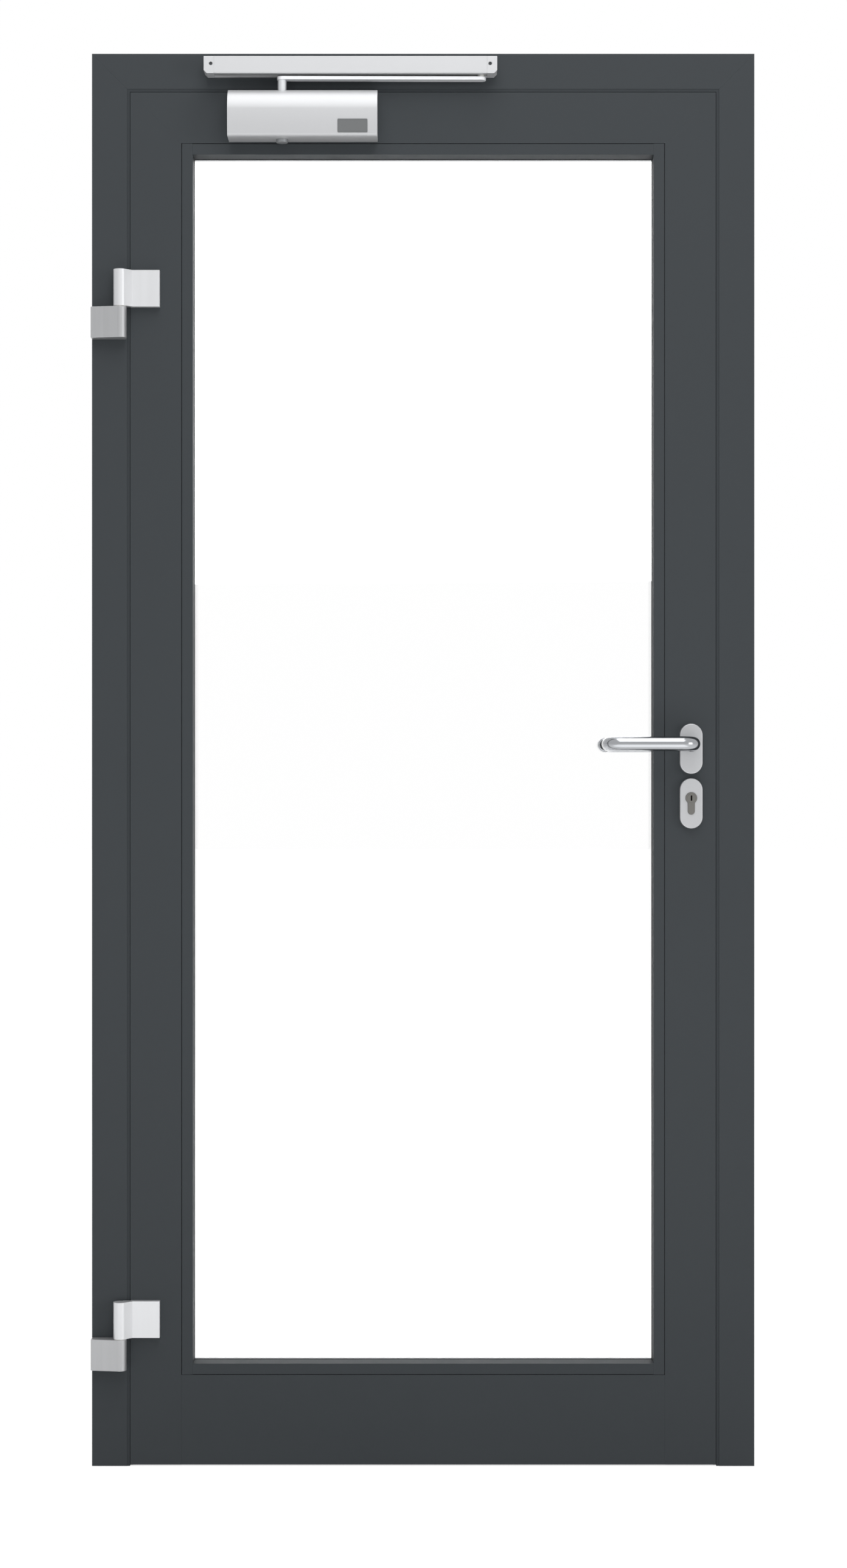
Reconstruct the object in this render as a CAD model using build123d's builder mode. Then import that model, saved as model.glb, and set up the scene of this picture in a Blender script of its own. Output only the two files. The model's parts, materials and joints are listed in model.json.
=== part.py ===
from build123d import *
import os
from math import hypot

# A single-leaf glass door in its own frame, hinged on the left and opening towards the front (-Y).
# Origin: middle of the frame at the floor, half way through its depth. Millimetres, +Z up.

# Outer size of the frame
frame_width = 990.0
frame_height = 2110.0
profile_depth = 65.0

# Section of the hollow profiles, measured inward from the outer edge of the frame
frame_face = 52.5  # visible face of the jambs and the head
stile_face = 76.1  # visible face of the stiles and the top rail
face_gap = 5.0  # visible gap between frame and leaf
frame_step = 8.5  # how far the frame tube stands in behind its face
frame_flange = 11.5  # reach of the frame's back flange
hardware_gap = 8.0  # space between the frame tube and the leaf tube, for the lock's bolts
wall = 2.2
flange = 7.0
seal_space = 5.0  # depth of the rebate that a seal fills
seal_reach = 4.4
seal_clearance = 0.3
gap_seal_width = 4.4  # lip of the outer seal, which fills most of the visible gap
gap_seal_recess = 0.3

# Bottom rail
bottom_rail_top = 136.0
floor_gap = 2.0
seal_groove_depth = 10.0
seal_groove_width = 20.0
bottom_seal_floor_gap = 0.6

# Glazing: two panes on a spacer, held between a fixed lip and clipped beads
pane = 4.0
cavity = 12.0
gasket = 3.0
lip = 5.0
lip_reach = 11.4
bead_face = 16.9
bead_wall = 1.6
bead_shadow_line = 1.0
bead_shadow_depth = 3.0
clip_reach = 1.5
clip_height = 3.0
clip_from_front = 28.5
glass_edge_gap = 5.0
spacer_width = 11.0
gasket_proud = 0.6
block_length = 100.0
block_from_corner = 111.4

# Corner cleats
cleat_arm = 60.0
cleat_wall = 5.0
cleat_width = 40.0
cleat_gap = 0.3

# Fixings of the frame to the wall
fixing_from_end = 250.0
fixing_pitch = 540.0
fixing_radius = 5.25

# Hinges
hinge_axis_in = 43.5  # axis, inward from the outer edge of the frame
hinge_axis_out = 15.0  # axis, in front of the frame's face
hinge_from_floor = 193.0  # joint between the two halves of the lower hinge
hinge_from_top = 380.0  # joint of the upper hinge, below the top of the frame
knuckle_radius = 10.0
leaf_half_height = 55.0
frame_half_height = 47.0
leaf_wing_reach = 102.0
leaf_wing_thick = 11.0
leaf_wing_slope = 18.0
frame_wing_thick = 18.0
wing_relief = 3.0
pin_radius = 5.0
pin_clearance = 0.05
bush_radius = 7.0
bush_flange_radius = 9.4
bush_flange_thick = 0.8
hinge_play = 0.1
knuckle_end = 4.0
bolt_radius = 3.0
bolt_head_radius = 5.0
bolt_head_height = 4.0
hinge_bolt_spread = 13.0
frame_bolt_in = 14.0
leaf_bolt_in = 88.0

# Lock, handles and cylinder
backset = 37.5  # lever axis from the visible edge of the leaf
lever_height = 1078.5
plug_below_lever = 80.5
lock_from_middle = -2.5  # middle of the lock case through the depth
case_thick = 15.0
case_wall = 2.0
case_behind_lever = 31.0
case_above_lever = 62.0
case_below_plug = 45.0
forend_thick = 3.0
forend_width = 24.0
forend_beyond_case = 25.0
strike_thick = 2.5
strike_width = 24.0
latch_thick = 10.4
latch_height = 32.0
latch_above_lever = 32.0
latch_reach = 12.0
latch_blunt = 2.0
latch_length = 36.0
bolt_height = 26.0
bolt_above_plug = 31.0
bolt_length = 34.0
bolt_room = 0.3
strike_room = 1.0
jamb_room = 2.0
follower_radius = 9.95
follower_play = 0.05
follower_nose = 17.0
nose_width = 6.0
nose_thick = 5.0
spindle_side = 8.0
spindle_half = 58.0
lever_radius = 11.0
lever_wall = 1.5
lever_insert = 28.0  # solid length in the neck that grips the spindle
lever_reach = 123.0  # between the middle lines of the neck and the returned end
lever_proud = 60.0  # front of the grip in front of the leaf
lever_bend = 18.0
lever_foot_gap = 0.5
lever_end_gap = 9.0
rosette_width = 34.0
rosette_height = 75.0
rosette_thick = 9.0
rosette_wall = 2.0
neck_room = 0.3
handle_rosette_drop = 7.0
cylinder_rosette_drop = 8.0
cylinder_head_radius = 8.5
cylinder_height = 33.0
cylinder_foot_width = 10.0
cylinder_proud = 2.0
cylinder_room = 0.2
cylinder_wall_room = 0.5
plug_radius = 6.5
plug_play = 0.05
cam_radius = 15.0
cam_core_radius = 7.6
cam_width = 8.0
cam_notch = 10.0
cam_room = 0.2
cam_notch_room = 1.0
key_slot_width = 2.2
key_slot_height = 8.0
key_slot_depth = 25.0
screw_radius = 2.0
screw_head_radius = 4.0
screw_length = 9.0
cylinder_screw_radius = 2.5
cylinder_screw_drop = 20.0
screw_end_gap = 11.0

# Door closer on the top rail, its guide rail on the head
closer_from_edge = 316.0  # middle of the closer, inward from the outer edge of the frame
closer_length = 222.0
closer_from_top = 58.2  # top of the closer below the top of the frame
closer_height = 73.8
closer_proud = 46.0
closer_crown = 34.0
closer_lower_round = 4.0
cover_wall = 2.0
cover_off_leaf = 0.5
plate_thick = 4.0
plate_height = 60.0
casting_height = 58.0
casting_depth = 39.5
casting_round = 24.0
casting_play = 0.5
casting_screw_inset = 12.0
casting_screw_spread = 21.0
casting_screw_radius = 2.5
casting_head_radius = 4.5
casting_head_depth = 6.0
screw_past_wall = 6.0
badge_width = 44.4
badge_height = 19.8
badge_thick = 0.8
badge_from_end = 14.3
badge_from_bottom = 4.5
spindle_from_edge = 285.0
spindle_radius = 6.8
spindle_proud = 17.0
spindle_play = 0.05
spindle_foot = 7.0
boss_radius = 8.5
boss_below = 4.8
boss_room = 0.3
arm_below_rail = 3.0
arm_thick = 5.0
arm_radius = 7.5
arm_square = 8.0
slider_from_edge = 581.0
slider_pin_radius = 5.0
slider_before = 17.0
slider_after = 8.0
slider_height = 13.0
slider_play = 0.4
pin_above_arm = 0.3
rail_from_edge = 169.0
rail_length = 436.0
rail_from_top = 10.5
rail_height = 25.5
rail_depth = 28.5
rail_wall = 2.2
rail_slot_room = 0.6
cap_length = 15.0
cap_chamfer = 4.5
cap_screw_in = 10.5
cap_screw_up = 14.5
cap_screw_radius = 2.1
cap_screw_head_radius = 2.4
cap_screw_head = 3.0

# Places that follow from the sizes above
half_width = frame_width / 2
front = -profile_depth / 2
back = profile_depth / 2
frame_tube = frame_face + frame_step
frame_lip = frame_tube + frame_flange
leaf_edge = frame_face + face_gap
leaf_tube = frame_tube + hardware_gap
leaf_back_edge = frame_lip + face_gap
glazing = leaf_edge + stile_face
front_shoulder = front + flange + seal_space
leaf_flange_back = front + flange
frame_flange_front = back - flange
leaf_shoulder = back - flange - seal_space
lip_front = back - lip
unit_back = lip_front - gasket
unit_front = unit_back - 2 * pane - cavity
bead_back = unit_front - gasket
clip_front = front + clip_from_front
clip_back = clip_front + clip_height
glazing_top = frame_height - glazing
glazing_right = half_width - glazing
fixing_heights = (
    fixing_from_end,
    fixing_from_end + fixing_pitch,
    frame_height - fixing_from_end - fixing_pitch,
    frame_height - fixing_from_end,
)
plug_height = lever_height - plug_below_lever
lock_front = lock_from_middle - case_thick / 2
lock_back = lock_from_middle + case_thick / 2
lever_x = half_width - leaf_edge - backset
tube_x = half_width - leaf_tube
forend_x = tube_x + forend_thick
jamb_x = half_width - frame_tube
latch_z = lever_height + latch_above_lever
bolt_z = plug_height + bolt_above_plug
case_low = plug_height - case_below_plug
case_high = lever_height + case_above_lever
case_x = lever_x - case_behind_lever
hinge_splits = (hinge_from_floor, frame_height - hinge_from_top)
hinge_x = -half_width + hinge_axis_in
hinge_y = front - hinge_axis_out
closer_x = -half_width + closer_from_edge
closer_top = frame_height - closer_from_top
closer_bottom = closer_top - closer_height
spindle_x = -half_width + spindle_from_edge
spindle_y = front - spindle_proud
slider_x = -half_width + slider_from_edge
rail_start = -half_width + rail_from_edge
rail_end = rail_start + rail_length
rail_y = front - rail_depth / 2
rail_front = front - rail_depth
rail_top = frame_height - rail_from_top
rail_bottom = rail_top - rail_height
arm_bottom = rail_bottom - arm_below_rail - arm_thick
casting_front = front - plate_thick - casting_depth
casting_middle = closer_bottom + closer_height / 2
casting_low = casting_middle - casting_height / 2
casting_high = casting_middle + casting_height / 2
casting_half = closer_length / 2 - cover_wall - casting_play

# Sections, drawn inward from the frame's outer edge (first value) and through the depth (second value)
frame_outline = (
    (0, front),
    (frame_face, front),
    (frame_face, front_shoulder),
    (frame_tube, front_shoulder),
    (frame_tube, frame_flange_front),
    (frame_lip, frame_flange_front),
    (frame_lip, back),
    (0, back),
)
frame_chamber = (
    (wall, front + wall),
    (frame_face - wall, front + wall),
    (frame_face - wall, front_shoulder + wall),
    (frame_tube - wall, front_shoulder + wall),
    (frame_tube - wall, back - wall),
    (wall, back - wall),
)
glazing_edge = (
    (glazing, front),
    (glazing, clip_front),
    (glazing + clip_reach, clip_front),
    (glazing + clip_reach, clip_back),
    (glazing, clip_back),
    (glazing, lip_front),
    (glazing + lip_reach, lip_front),
    (glazing + lip_reach, back),
)
leaf_outline = (
    (leaf_edge, front),
    *glazing_edge,
    (leaf_back_edge, back),
    (leaf_back_edge, leaf_shoulder),
    (leaf_tube, leaf_shoulder),
    (leaf_tube, leaf_flange_back),
    (leaf_edge, leaf_flange_back),
)
leaf_chamber = (
    (leaf_tube + wall, front + wall),
    (glazing - wall, front + wall),
    (glazing - wall, back - wall),
    (leaf_back_edge + wall, back - wall),
    (leaf_back_edge + wall, leaf_shoulder - wall),
    (leaf_tube + wall, leaf_shoulder - wall),
)
bead_outline = (
    (glazing + bead_shadow_line, front),
    (glazing + bead_face, front),
    (glazing + bead_face, bead_back),
    (glazing, bead_back),
    (glazing, clip_back),
    (glazing + clip_reach, clip_back),
    (glazing + clip_reach, clip_front),
    (glazing, clip_front),
    (glazing, front + bead_shadow_depth),
    (glazing + bead_shadow_line, front + bead_shadow_depth),
)
bead_chamber = (
    (glazing + clip_reach + bead_wall, front + bead_wall),
    (glazing + bead_face - bead_wall, front + bead_wall),
    (glazing + bead_face - bead_wall, bead_back - bead_wall),
    (glazing + clip_reach + bead_wall, bead_back - bead_wall),
)


# Section planes: local x runs inward from the frame's outer edge, local y runs to the back
hinge_side_plane = Plane(origin=(-half_width, 0, 0), x_dir=(1, 0, 0), z_dir=(0, 0, 1))
lock_side_plane = Plane(origin=(half_width, 0, 0), x_dir=(-1, 0, 0), z_dir=(0, 0, -1))
head_plane = Plane(origin=(0, 0, frame_height), x_dir=(0, 0, -1), z_dir=(1, 0, 0))
sill_plane = Plane(origin=(0, 0, 0), x_dir=(0, 0, 1), z_dir=(-1, 0, 0))
hinge_mitre = Plane(origin=(-half_width, 0, frame_height), z_dir=(1, 0, 1))
lock_mitre = Plane(origin=(half_width, 0, frame_height), z_dir=(-1, 0, 1))


def face_plane(y, x=0.0, z=0.0):
    """A plane across the door at depth y, seen from the front: local x is +X and local y is +Z."""
    return Plane(origin=(x, y, z), x_dir=(1, 0, 0), z_dir=(0, -1, 0))


def write(piece, name):
    """Labels a finished piece and writes it."""
    piece.part.label = name
    export_step(piece.part, f"parts/{name}.step")


def block(x, y, z, mode=Mode.ADD):
    """A block between the low and high values given along X, Y and Z."""
    with Locations(((x[0] + x[1]) / 2, (y[0] + y[1]) / 2, (z[0] + z[1]) / 2)):
        Box(x[1] - x[0], y[1] - y[0], z[1] - z[0], mode=mode)


def rod_x(x, y, z, radius, mode=Mode.ADD):
    """A round rod along X, between the low and high x."""
    with Locations(((x[0] + x[1]) / 2, y, z)):
        Cylinder(radius, x[1] - x[0], rotation=(0, 90, 0), mode=mode)


def rod_y(x, y, z, radius, mode=Mode.ADD):
    """A round rod through the depth, between the low and high y."""
    with Locations((x, (y[0] + y[1]) / 2, z)):
        Cylinder(radius, y[1] - y[0], rotation=(90, 0, 0), mode=mode)


def rod_z(x, y, z, radius, mode=Mode.ADD):
    """An upright round rod between the low and high z."""
    with Locations((x, y, (z[0] + z[1]) / 2)):
        Cylinder(radius, z[1] - z[0], mode=mode)


def extrusion(plane, outline, chamber, start, end):
    """A hollow profile along the plane's normal, from start to end."""
    with BuildPart() as piece:
        with BuildSketch(plane.offset(start)):
            with BuildLine():
                Polyline(*outline, close=True)
            make_face()
            with BuildLine():
                Polyline(*chamber, close=True)
            make_face(mode=Mode.SUBTRACT)
        extrude(amount=end - start)
    return piece.part


def frame_ring(outer, inner, y, bottom):
    """A band of one width along the hinge side, the head and the lock side, open at the floor."""
    with BuildPart() as piece:
        block(
            (-half_width + outer, half_width - outer), y, (bottom, frame_height - outer)
        )
        block(
            (-half_width + inner, half_width - inner),
            y,
            (bottom, frame_height - inner),
            mode=Mode.SUBTRACT,
        )
    return piece.part


def glass_ring(outer, inner, y):
    """A closed band round the glass: outer and inner are distances from the edge of the glazing space."""
    with BuildPart() as piece:
        block(
            (-glazing_right + outer, glazing_right - outer),
            y,
            (bottom_rail_top + outer, glazing_top - outer),
        )
        block(
            (-glazing_right + inner, glazing_right - inner),
            y,
            (bottom_rail_top + inner, glazing_top - inner),
            mode=Mode.SUBTRACT,
        )
    return piece.part


def corner_cleat(outer, inner):
    """A hollow angle in the top left mitre, between two distances from the frame's outer edges."""
    reach = inner + cleat_arm
    with BuildPart() as piece:
        with BuildSketch(face_plane(cleat_width / 2, -half_width, frame_height)):
            with BuildLine():
                Polyline(
                    (outer, -outer),
                    (reach, -outer),
                    (reach, -inner),
                    (inner, -inner),
                    (inner, -reach),
                    (outer, -reach),
                    close=True,
                )
            make_face()
            offset(amount=-cleat_wall, mode=Mode.SUBTRACT)
        extrude(amount=cleat_width)
    return piece.part


def euro_profile(room=0.0):
    """The keyhole outline of a profile cylinder, its plug axis at the sketch's origin."""
    foot = cylinder_foot_width / 2 + room
    drop = cylinder_height - cylinder_head_radius - cylinder_foot_width / 2
    Circle(cylinder_head_radius + room)
    with Locations((0, -drop / 2)):
        Rectangle(2 * foot, drop)
    with Locations((0, -drop)):
        Circle(foot)


# Frame
with BuildPart() as frame_jamb_left:
    add(extrusion(hinge_side_plane, frame_outline, frame_chamber, 0, frame_height))
    split(bisect_by=hinge_mitre, keep=Keep.BOTTOM)
    for z in fixing_heights:
        rod_x((-half_width, -half_width + frame_tube), 0, z, fixing_radius, mode=Mode.SUBTRACT)
    for split_z in hinge_splits:
        middle = split_z - frame_half_height / 2
        for z in (middle - hinge_bolt_spread, middle + hinge_bolt_spread):
            rod_y(-half_width + frame_bolt_in, (front, front + wall), z, bolt_radius, mode=Mode.SUBTRACT)

with BuildPart() as frame_jamb_right:
    add(extrusion(lock_side_plane, frame_outline, frame_chamber, -frame_height, 0))
    split(bisect_by=lock_mitre, keep=Keep.BOTTOM)
    for z in fixing_heights:
        rod_x((half_width - frame_tube, half_width), 0, z, fixing_radius, mode=Mode.SUBTRACT)
    for z, height in ((latch_z, latch_height), (bolt_z, bolt_height)):
        half = height / 2 + jamb_room
        block(
            (jamb_x, jamb_x + wall),
            (lock_from_middle - latch_thick / 2 - jamb_room, lock_from_middle + latch_thick / 2 + jamb_room),
            (z - half, z + half),
            mode=Mode.SUBTRACT,
        )
    for z in (case_low - forend_beyond_case + screw_end_gap, case_high + forend_beyond_case - screw_end_gap):
        rod_x((jamb_x, jamb_x + wall), lock_from_middle, z, screw_radius, mode=Mode.SUBTRACT)

with BuildPart() as frame_head:
    add(extrusion(head_plane, frame_outline, frame_chamber, -half_width, half_width))
    split(bisect_by=hinge_mitre, keep=Keep.TOP)
    split(bisect_by=lock_mitre, keep=Keep.TOP)
    for x in (rail_start + cap_screw_in, rail_end - cap_screw_in):
        rod_y(x, (front, front + wall), rail_bottom + cap_screw_up, cap_screw_radius, mode=Mode.SUBTRACT)

with BuildPart() as frame_corner_cleats:
    add(corner_cleat(wall + cleat_gap, frame_face - wall - cleat_gap))
    mirror(about=Plane.YZ)

with BuildPart() as frame_inner_seal:
    add(
        frame_ring(
            frame_lip - seal_reach,
            frame_lip,
            (leaf_shoulder + seal_clearance, frame_flange_front),
            0,
        )
    )

with BuildPart() as frame_outer_seal:
    seal_front = leaf_flange_back + seal_clearance
    add(frame_ring(frame_face, frame_tube, (seal_front, front_shoulder), 0))
    add(frame_ring(frame_face, frame_face + gap_seal_width, (front + gap_seal_recess, seal_front), 0))

strike_low = case_low - forend_beyond_case
strike_high = case_high + forend_beyond_case
strike_x = jamb_x - strike_thick
with BuildPart() as strike_plate:
    block(
        (strike_x, jamb_x),
        (lock_from_middle - strike_width / 2, lock_from_middle + strike_width / 2),
        (strike_low, strike_high),
    )
    fillet(strike_plate.edges().filter_by(Axis.X), forend_thick)
    for z, height in ((latch_z, latch_height), (bolt_z, bolt_height)):
        half = height / 2 + strike_room
        block(
            (strike_x, jamb_x),
            (
                lock_from_middle - latch_thick / 2 - strike_room,
                lock_from_middle + latch_thick / 2 + strike_room,
            ),
            (z - half, z + half),
            mode=Mode.SUBTRACT,
        )
    with Locations(
        Plane(origin=(strike_x, lock_from_middle, strike_low + screw_end_gap), z_dir=(-1, 0, 0)),
        Plane(origin=(strike_x, lock_from_middle, strike_high - screw_end_gap), z_dir=(-1, 0, 0)),
    ):
        CounterSinkHole(screw_radius, screw_head_radius, depth=strike_thick)

with BuildPart() as strike_screws:
    with Locations(
        Plane(origin=(strike_x, lock_from_middle, strike_low + screw_end_gap), z_dir=(1, 0, 0)),
        Plane(origin=(strike_x, lock_from_middle, strike_high - screw_end_gap), z_dir=(1, 0, 0)),
    ):
        Cylinder(screw_radius, screw_length, align=(Align.CENTER, Align.CENTER, Align.MIN))
        Cone(
            screw_head_radius,
            screw_radius,
            screw_head_radius - screw_radius,
            align=(Align.CENTER, Align.CENTER, Align.MIN),
        )


# Leaf profiles
bead_half = glazing_right - bead_face


def clear_clip_corners(low):
    """Takes the clip ridge of a rail away where the side beads stand, from a height upward."""
    for ends in ((-glazing_right, -bead_half), (bead_half, glazing_right)):
        block(ends, (clip_front, clip_back), (low, low + clip_reach), mode=Mode.SUBTRACT)


with BuildPart() as leaf_stile_left:
    add(extrusion(hinge_side_plane, leaf_outline, leaf_chamber, floor_gap, frame_height))
    split(bisect_by=hinge_mitre, keep=Keep.BOTTOM)
    block(
        (-glazing_right, -glazing_right + lip_reach),
        (front, back),
        (floor_gap, bottom_rail_top),
        mode=Mode.SUBTRACT,
    )
    for split_z in hinge_splits:
        middle = split_z + leaf_half_height / 2
        for z in (middle - hinge_bolt_spread, middle + hinge_bolt_spread):
            rod_y(-half_width + leaf_bolt_in, (front, front + wall), z, bolt_radius, mode=Mode.SUBTRACT)

with BuildPart() as leaf_stile_right:
    add(extrusion(lock_side_plane, leaf_outline, leaf_chamber, -frame_height, -floor_gap))
    split(bisect_by=lock_mitre, keep=Keep.BOTTOM)
    block(
        (glazing_right - lip_reach, glazing_right),
        (front, back),
        (floor_gap, bottom_rail_top),
        mode=Mode.SUBTRACT,
    )
    block((tube_x - wall, tube_x), (lock_front, lock_back), (case_low, case_high), mode=Mode.SUBTRACT)
    for y in ((front, front + wall), (back - wall, back)):
        rod_y(lever_x, y, lever_height, lever_radius + 2 * neck_room, mode=Mode.SUBTRACT)
    for y in (front + wall, back):
        with BuildSketch(face_plane(y, lever_x, plug_height)):
            euro_profile(cylinder_wall_room)
        extrude(amount=wall, mode=Mode.SUBTRACT)
    for z in (strike_low + screw_end_gap, strike_high - screw_end_gap):
        rod_x((tube_x - wall, tube_x), lock_from_middle, z, screw_radius, mode=Mode.SUBTRACT)

screw_columns = (
    closer_x - casting_half + casting_screw_inset,
    closer_x + casting_half - casting_screw_inset,
)
screw_rows = (casting_middle - casting_screw_spread, casting_middle + casting_screw_spread)
with BuildPart() as leaf_top_rail:
    add(extrusion(head_plane, leaf_outline, leaf_chamber, -half_width, half_width))
    split(bisect_by=hinge_mitre, keep=Keep.TOP)
    split(bisect_by=lock_mitre, keep=Keep.TOP)
    clear_clip_corners(glazing_top - clip_reach)
    for x in screw_columns:
        for z in screw_rows:
            rod_y(x, (front, front + wall), z, casting_screw_radius, mode=Mode.SUBTRACT)

groove = seal_groove_width / 2
rail_outline = (
    (floor_gap, front),
    *((inward - glazing + bottom_rail_top, y) for inward, y in glazing_edge),
    (floor_gap, back),
    (floor_gap, groove),
    (floor_gap + seal_groove_depth, groove),
    (floor_gap + seal_groove_depth, -groove),
    (floor_gap, -groove),
)
rail_chamber = (
    (floor_gap + wall, front + wall),
    (bottom_rail_top - wall, front + wall),
    (bottom_rail_top - wall, back - wall),
    (floor_gap + wall, back - wall),
    (floor_gap + wall, groove + wall),
    (floor_gap + seal_groove_depth + wall, groove + wall),
    (floor_gap + seal_groove_depth + wall, -groove - wall),
    (floor_gap + wall, -groove - wall),
)
with BuildPart() as leaf_bottom_rail:
    add(extrusion(sill_plane, rail_outline, rail_chamber, -glazing_right, glazing_right))
    clear_clip_corners(bottom_rail_top)
    for ends in (
        (-glazing_right, -glazing_right + lip_reach),
        (glazing_right - lip_reach, glazing_right),
    ):
        block(
            ends,
            (lip_front, back),
            (bottom_rail_top, bottom_rail_top + lip_reach),
            mode=Mode.SUBTRACT,
        )

connector_low = floor_gap + seal_groove_depth + wall + cleat_gap
connector_high = bottom_rail_top - wall - cleat_gap
with BuildPart() as leaf_corner_cleats:
    add(corner_cleat(leaf_back_edge + wall + cleat_gap, glazing - wall - cleat_gap))
    block(
        (-glazing_right, -glazing_right + cleat_arm),
        (-cleat_width / 2, cleat_width / 2),
        (connector_low, connector_high),
    )
    block(
        (-glazing_right + cleat_wall, -glazing_right + cleat_arm),
        (-cleat_width / 2, cleat_width / 2),
        (connector_low + cleat_wall, connector_high - cleat_wall),
        mode=Mode.SUBTRACT,
    )
    mirror(about=Plane.YZ)

with BuildPart() as bottom_seal:
    seal_top = floor_gap + seal_groove_depth
    block((-glazing_right, glazing_right), (-groove, groove), (seal_top - gasket, seal_top))
    for y in (-groove / 2, groove / 2):
        block(
            (-glazing_right, glazing_right),
            (y - bead_wall / 2, y + bead_wall / 2),
            (bottom_seal_floor_gap, seal_top - gasket),
        )

# Glazing
pane_x = (-glazing_right + glass_edge_gap, glazing_right - glass_edge_gap)
pane_z = (bottom_rail_top + glass_edge_gap, glazing_top - glass_edge_gap)
with BuildPart() as glass_pane_front:
    block(pane_x, (unit_front, unit_front + pane), pane_z)
with BuildPart() as glass_pane_back:
    block(pane_x, (unit_back - pane, unit_back), pane_z)
with BuildPart() as glass_spacer:
    add(
        glass_ring(
            glass_edge_gap,
            glass_edge_gap + spacer_width,
            (unit_front + pane, unit_back - pane),
        )
    )
with BuildPart() as glazing_gasket_front:
    add(glass_ring(glass_edge_gap, bead_face + gasket_proud, (bead_back, unit_front)))
with BuildPart() as glazing_gasket_back:
    add(glass_ring(glass_edge_gap, lip_reach + gasket_proud, (unit_back, lip_front)))
with BuildPart() as setting_blocks:
    for x in (-glazing_right + block_from_corner, glazing_right - block_from_corner):
        block(
            (x - block_length / 2, x + block_length / 2),
            (unit_front, unit_back),
            (bottom_rail_top, bottom_rail_top + glass_edge_gap),
        )

with BuildPart() as bead_left:
    add(extrusion(hinge_side_plane, bead_outline, bead_chamber, bottom_rail_top, glazing_top))
with BuildPart() as bead_right:
    add(extrusion(lock_side_plane, bead_outline, bead_chamber, -glazing_top, -bottom_rail_top))
with BuildPart() as bead_top:
    add(extrusion(head_plane, bead_outline, bead_chamber, -bead_half, bead_half))
rise = bottom_rail_top - glazing
with BuildPart() as bead_bottom:
    add(
        extrusion(
            sill_plane.shift_origin(sill_plane.from_local_coords((rise, 0, 0))),
            bead_outline,
            bead_chamber,
            -bead_half,
            bead_half,
        )
    )


# Hinges
def knuckle_half(outline, low, high):
    """One half of a hinge: a wing with the given plan outline and a round knuckle, from low to high."""
    with BuildPart() as piece:
        with BuildSketch(Plane.XY.offset(low)):
            with BuildLine():
                Polyline(*((-half_width + inward, y) for inward, y in outline), close=True)
            make_face()
            with Locations((hinge_x, hinge_y)):
                Circle(knuckle_radius)
        extrude(amount=high - low)
    return piece.part


frame_wing_outline = (
    (hinge_axis_in, hinge_y - knuckle_radius),
    (0, front - frame_wing_thick),
    (0, front),
    (frame_face - bead_shadow_line, front),
    (frame_face - bead_shadow_line, front - wing_relief),
    (hinge_axis_in + knuckle_radius, hinge_y),
)
leaf_wing_outline = (
    (hinge_axis_in, hinge_y - knuckle_radius),
    (hinge_axis_in + leaf_wing_slope, front - leaf_wing_thick),
    (leaf_wing_reach, front - leaf_wing_thick),
    (leaf_wing_reach, front),
    (leaf_edge + bead_shadow_line, front),
    (leaf_edge + bead_shadow_line, front - wing_relief),
    (hinge_axis_in, hinge_y + knuckle_radius),
)
bush_low = bush_flange_thick / 2
half_gap = bush_low + hinge_play
bolt_depth = frame_wing_thick - leaf_wing_thick / 2


def hinge_frame_half(split_z):
    """The lower half, bolted to the jamb and bored for the pin."""
    low = split_z - frame_half_height
    middle = split_z - frame_half_height / 2
    with BuildPart() as piece:
        add(knuckle_half(frame_wing_outline, low, split_z - half_gap))
        rod_z(hinge_x, hinge_y, (low + knuckle_end, split_z), pin_radius, mode=Mode.SUBTRACT)
        for z in (middle - hinge_bolt_spread, middle + hinge_bolt_spread):
            x = -half_width + frame_bolt_in
            rod_y(x, (front - bolt_depth, front), z, bolt_radius, mode=Mode.SUBTRACT)
    return piece


def hinge_leaf_half(split_z):
    """The upper half, bolted to the leaf and bored for the bush."""
    high = split_z + leaf_half_height
    middle = split_z + leaf_half_height / 2
    with BuildPart() as piece:
        add(knuckle_half(leaf_wing_outline, split_z + bush_low, high))
        rod_z(hinge_x, hinge_y, (split_z, high - knuckle_end), bush_radius, mode=Mode.SUBTRACT)
        for z in (middle - hinge_bolt_spread, middle + hinge_bolt_spread):
            x = -half_width + leaf_bolt_in
            rod_y(x, (front - leaf_wing_thick / 2, front), z, bolt_radius, mode=Mode.SUBTRACT)
    return piece


def hinge_bolts(x, middles, depth):
    """Bolts from inside a profile into the wings in front of it, two at each hinge."""
    with BuildPart() as piece:
        for middle in middles:
            for z in (middle - hinge_bolt_spread, middle + hinge_bolt_spread):
                rod_y(x, (front - depth, front + wall), z, bolt_radius)
                rod_y(x, (front + wall, front + wall + bolt_head_height), z, bolt_head_radius)
    return piece


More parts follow.
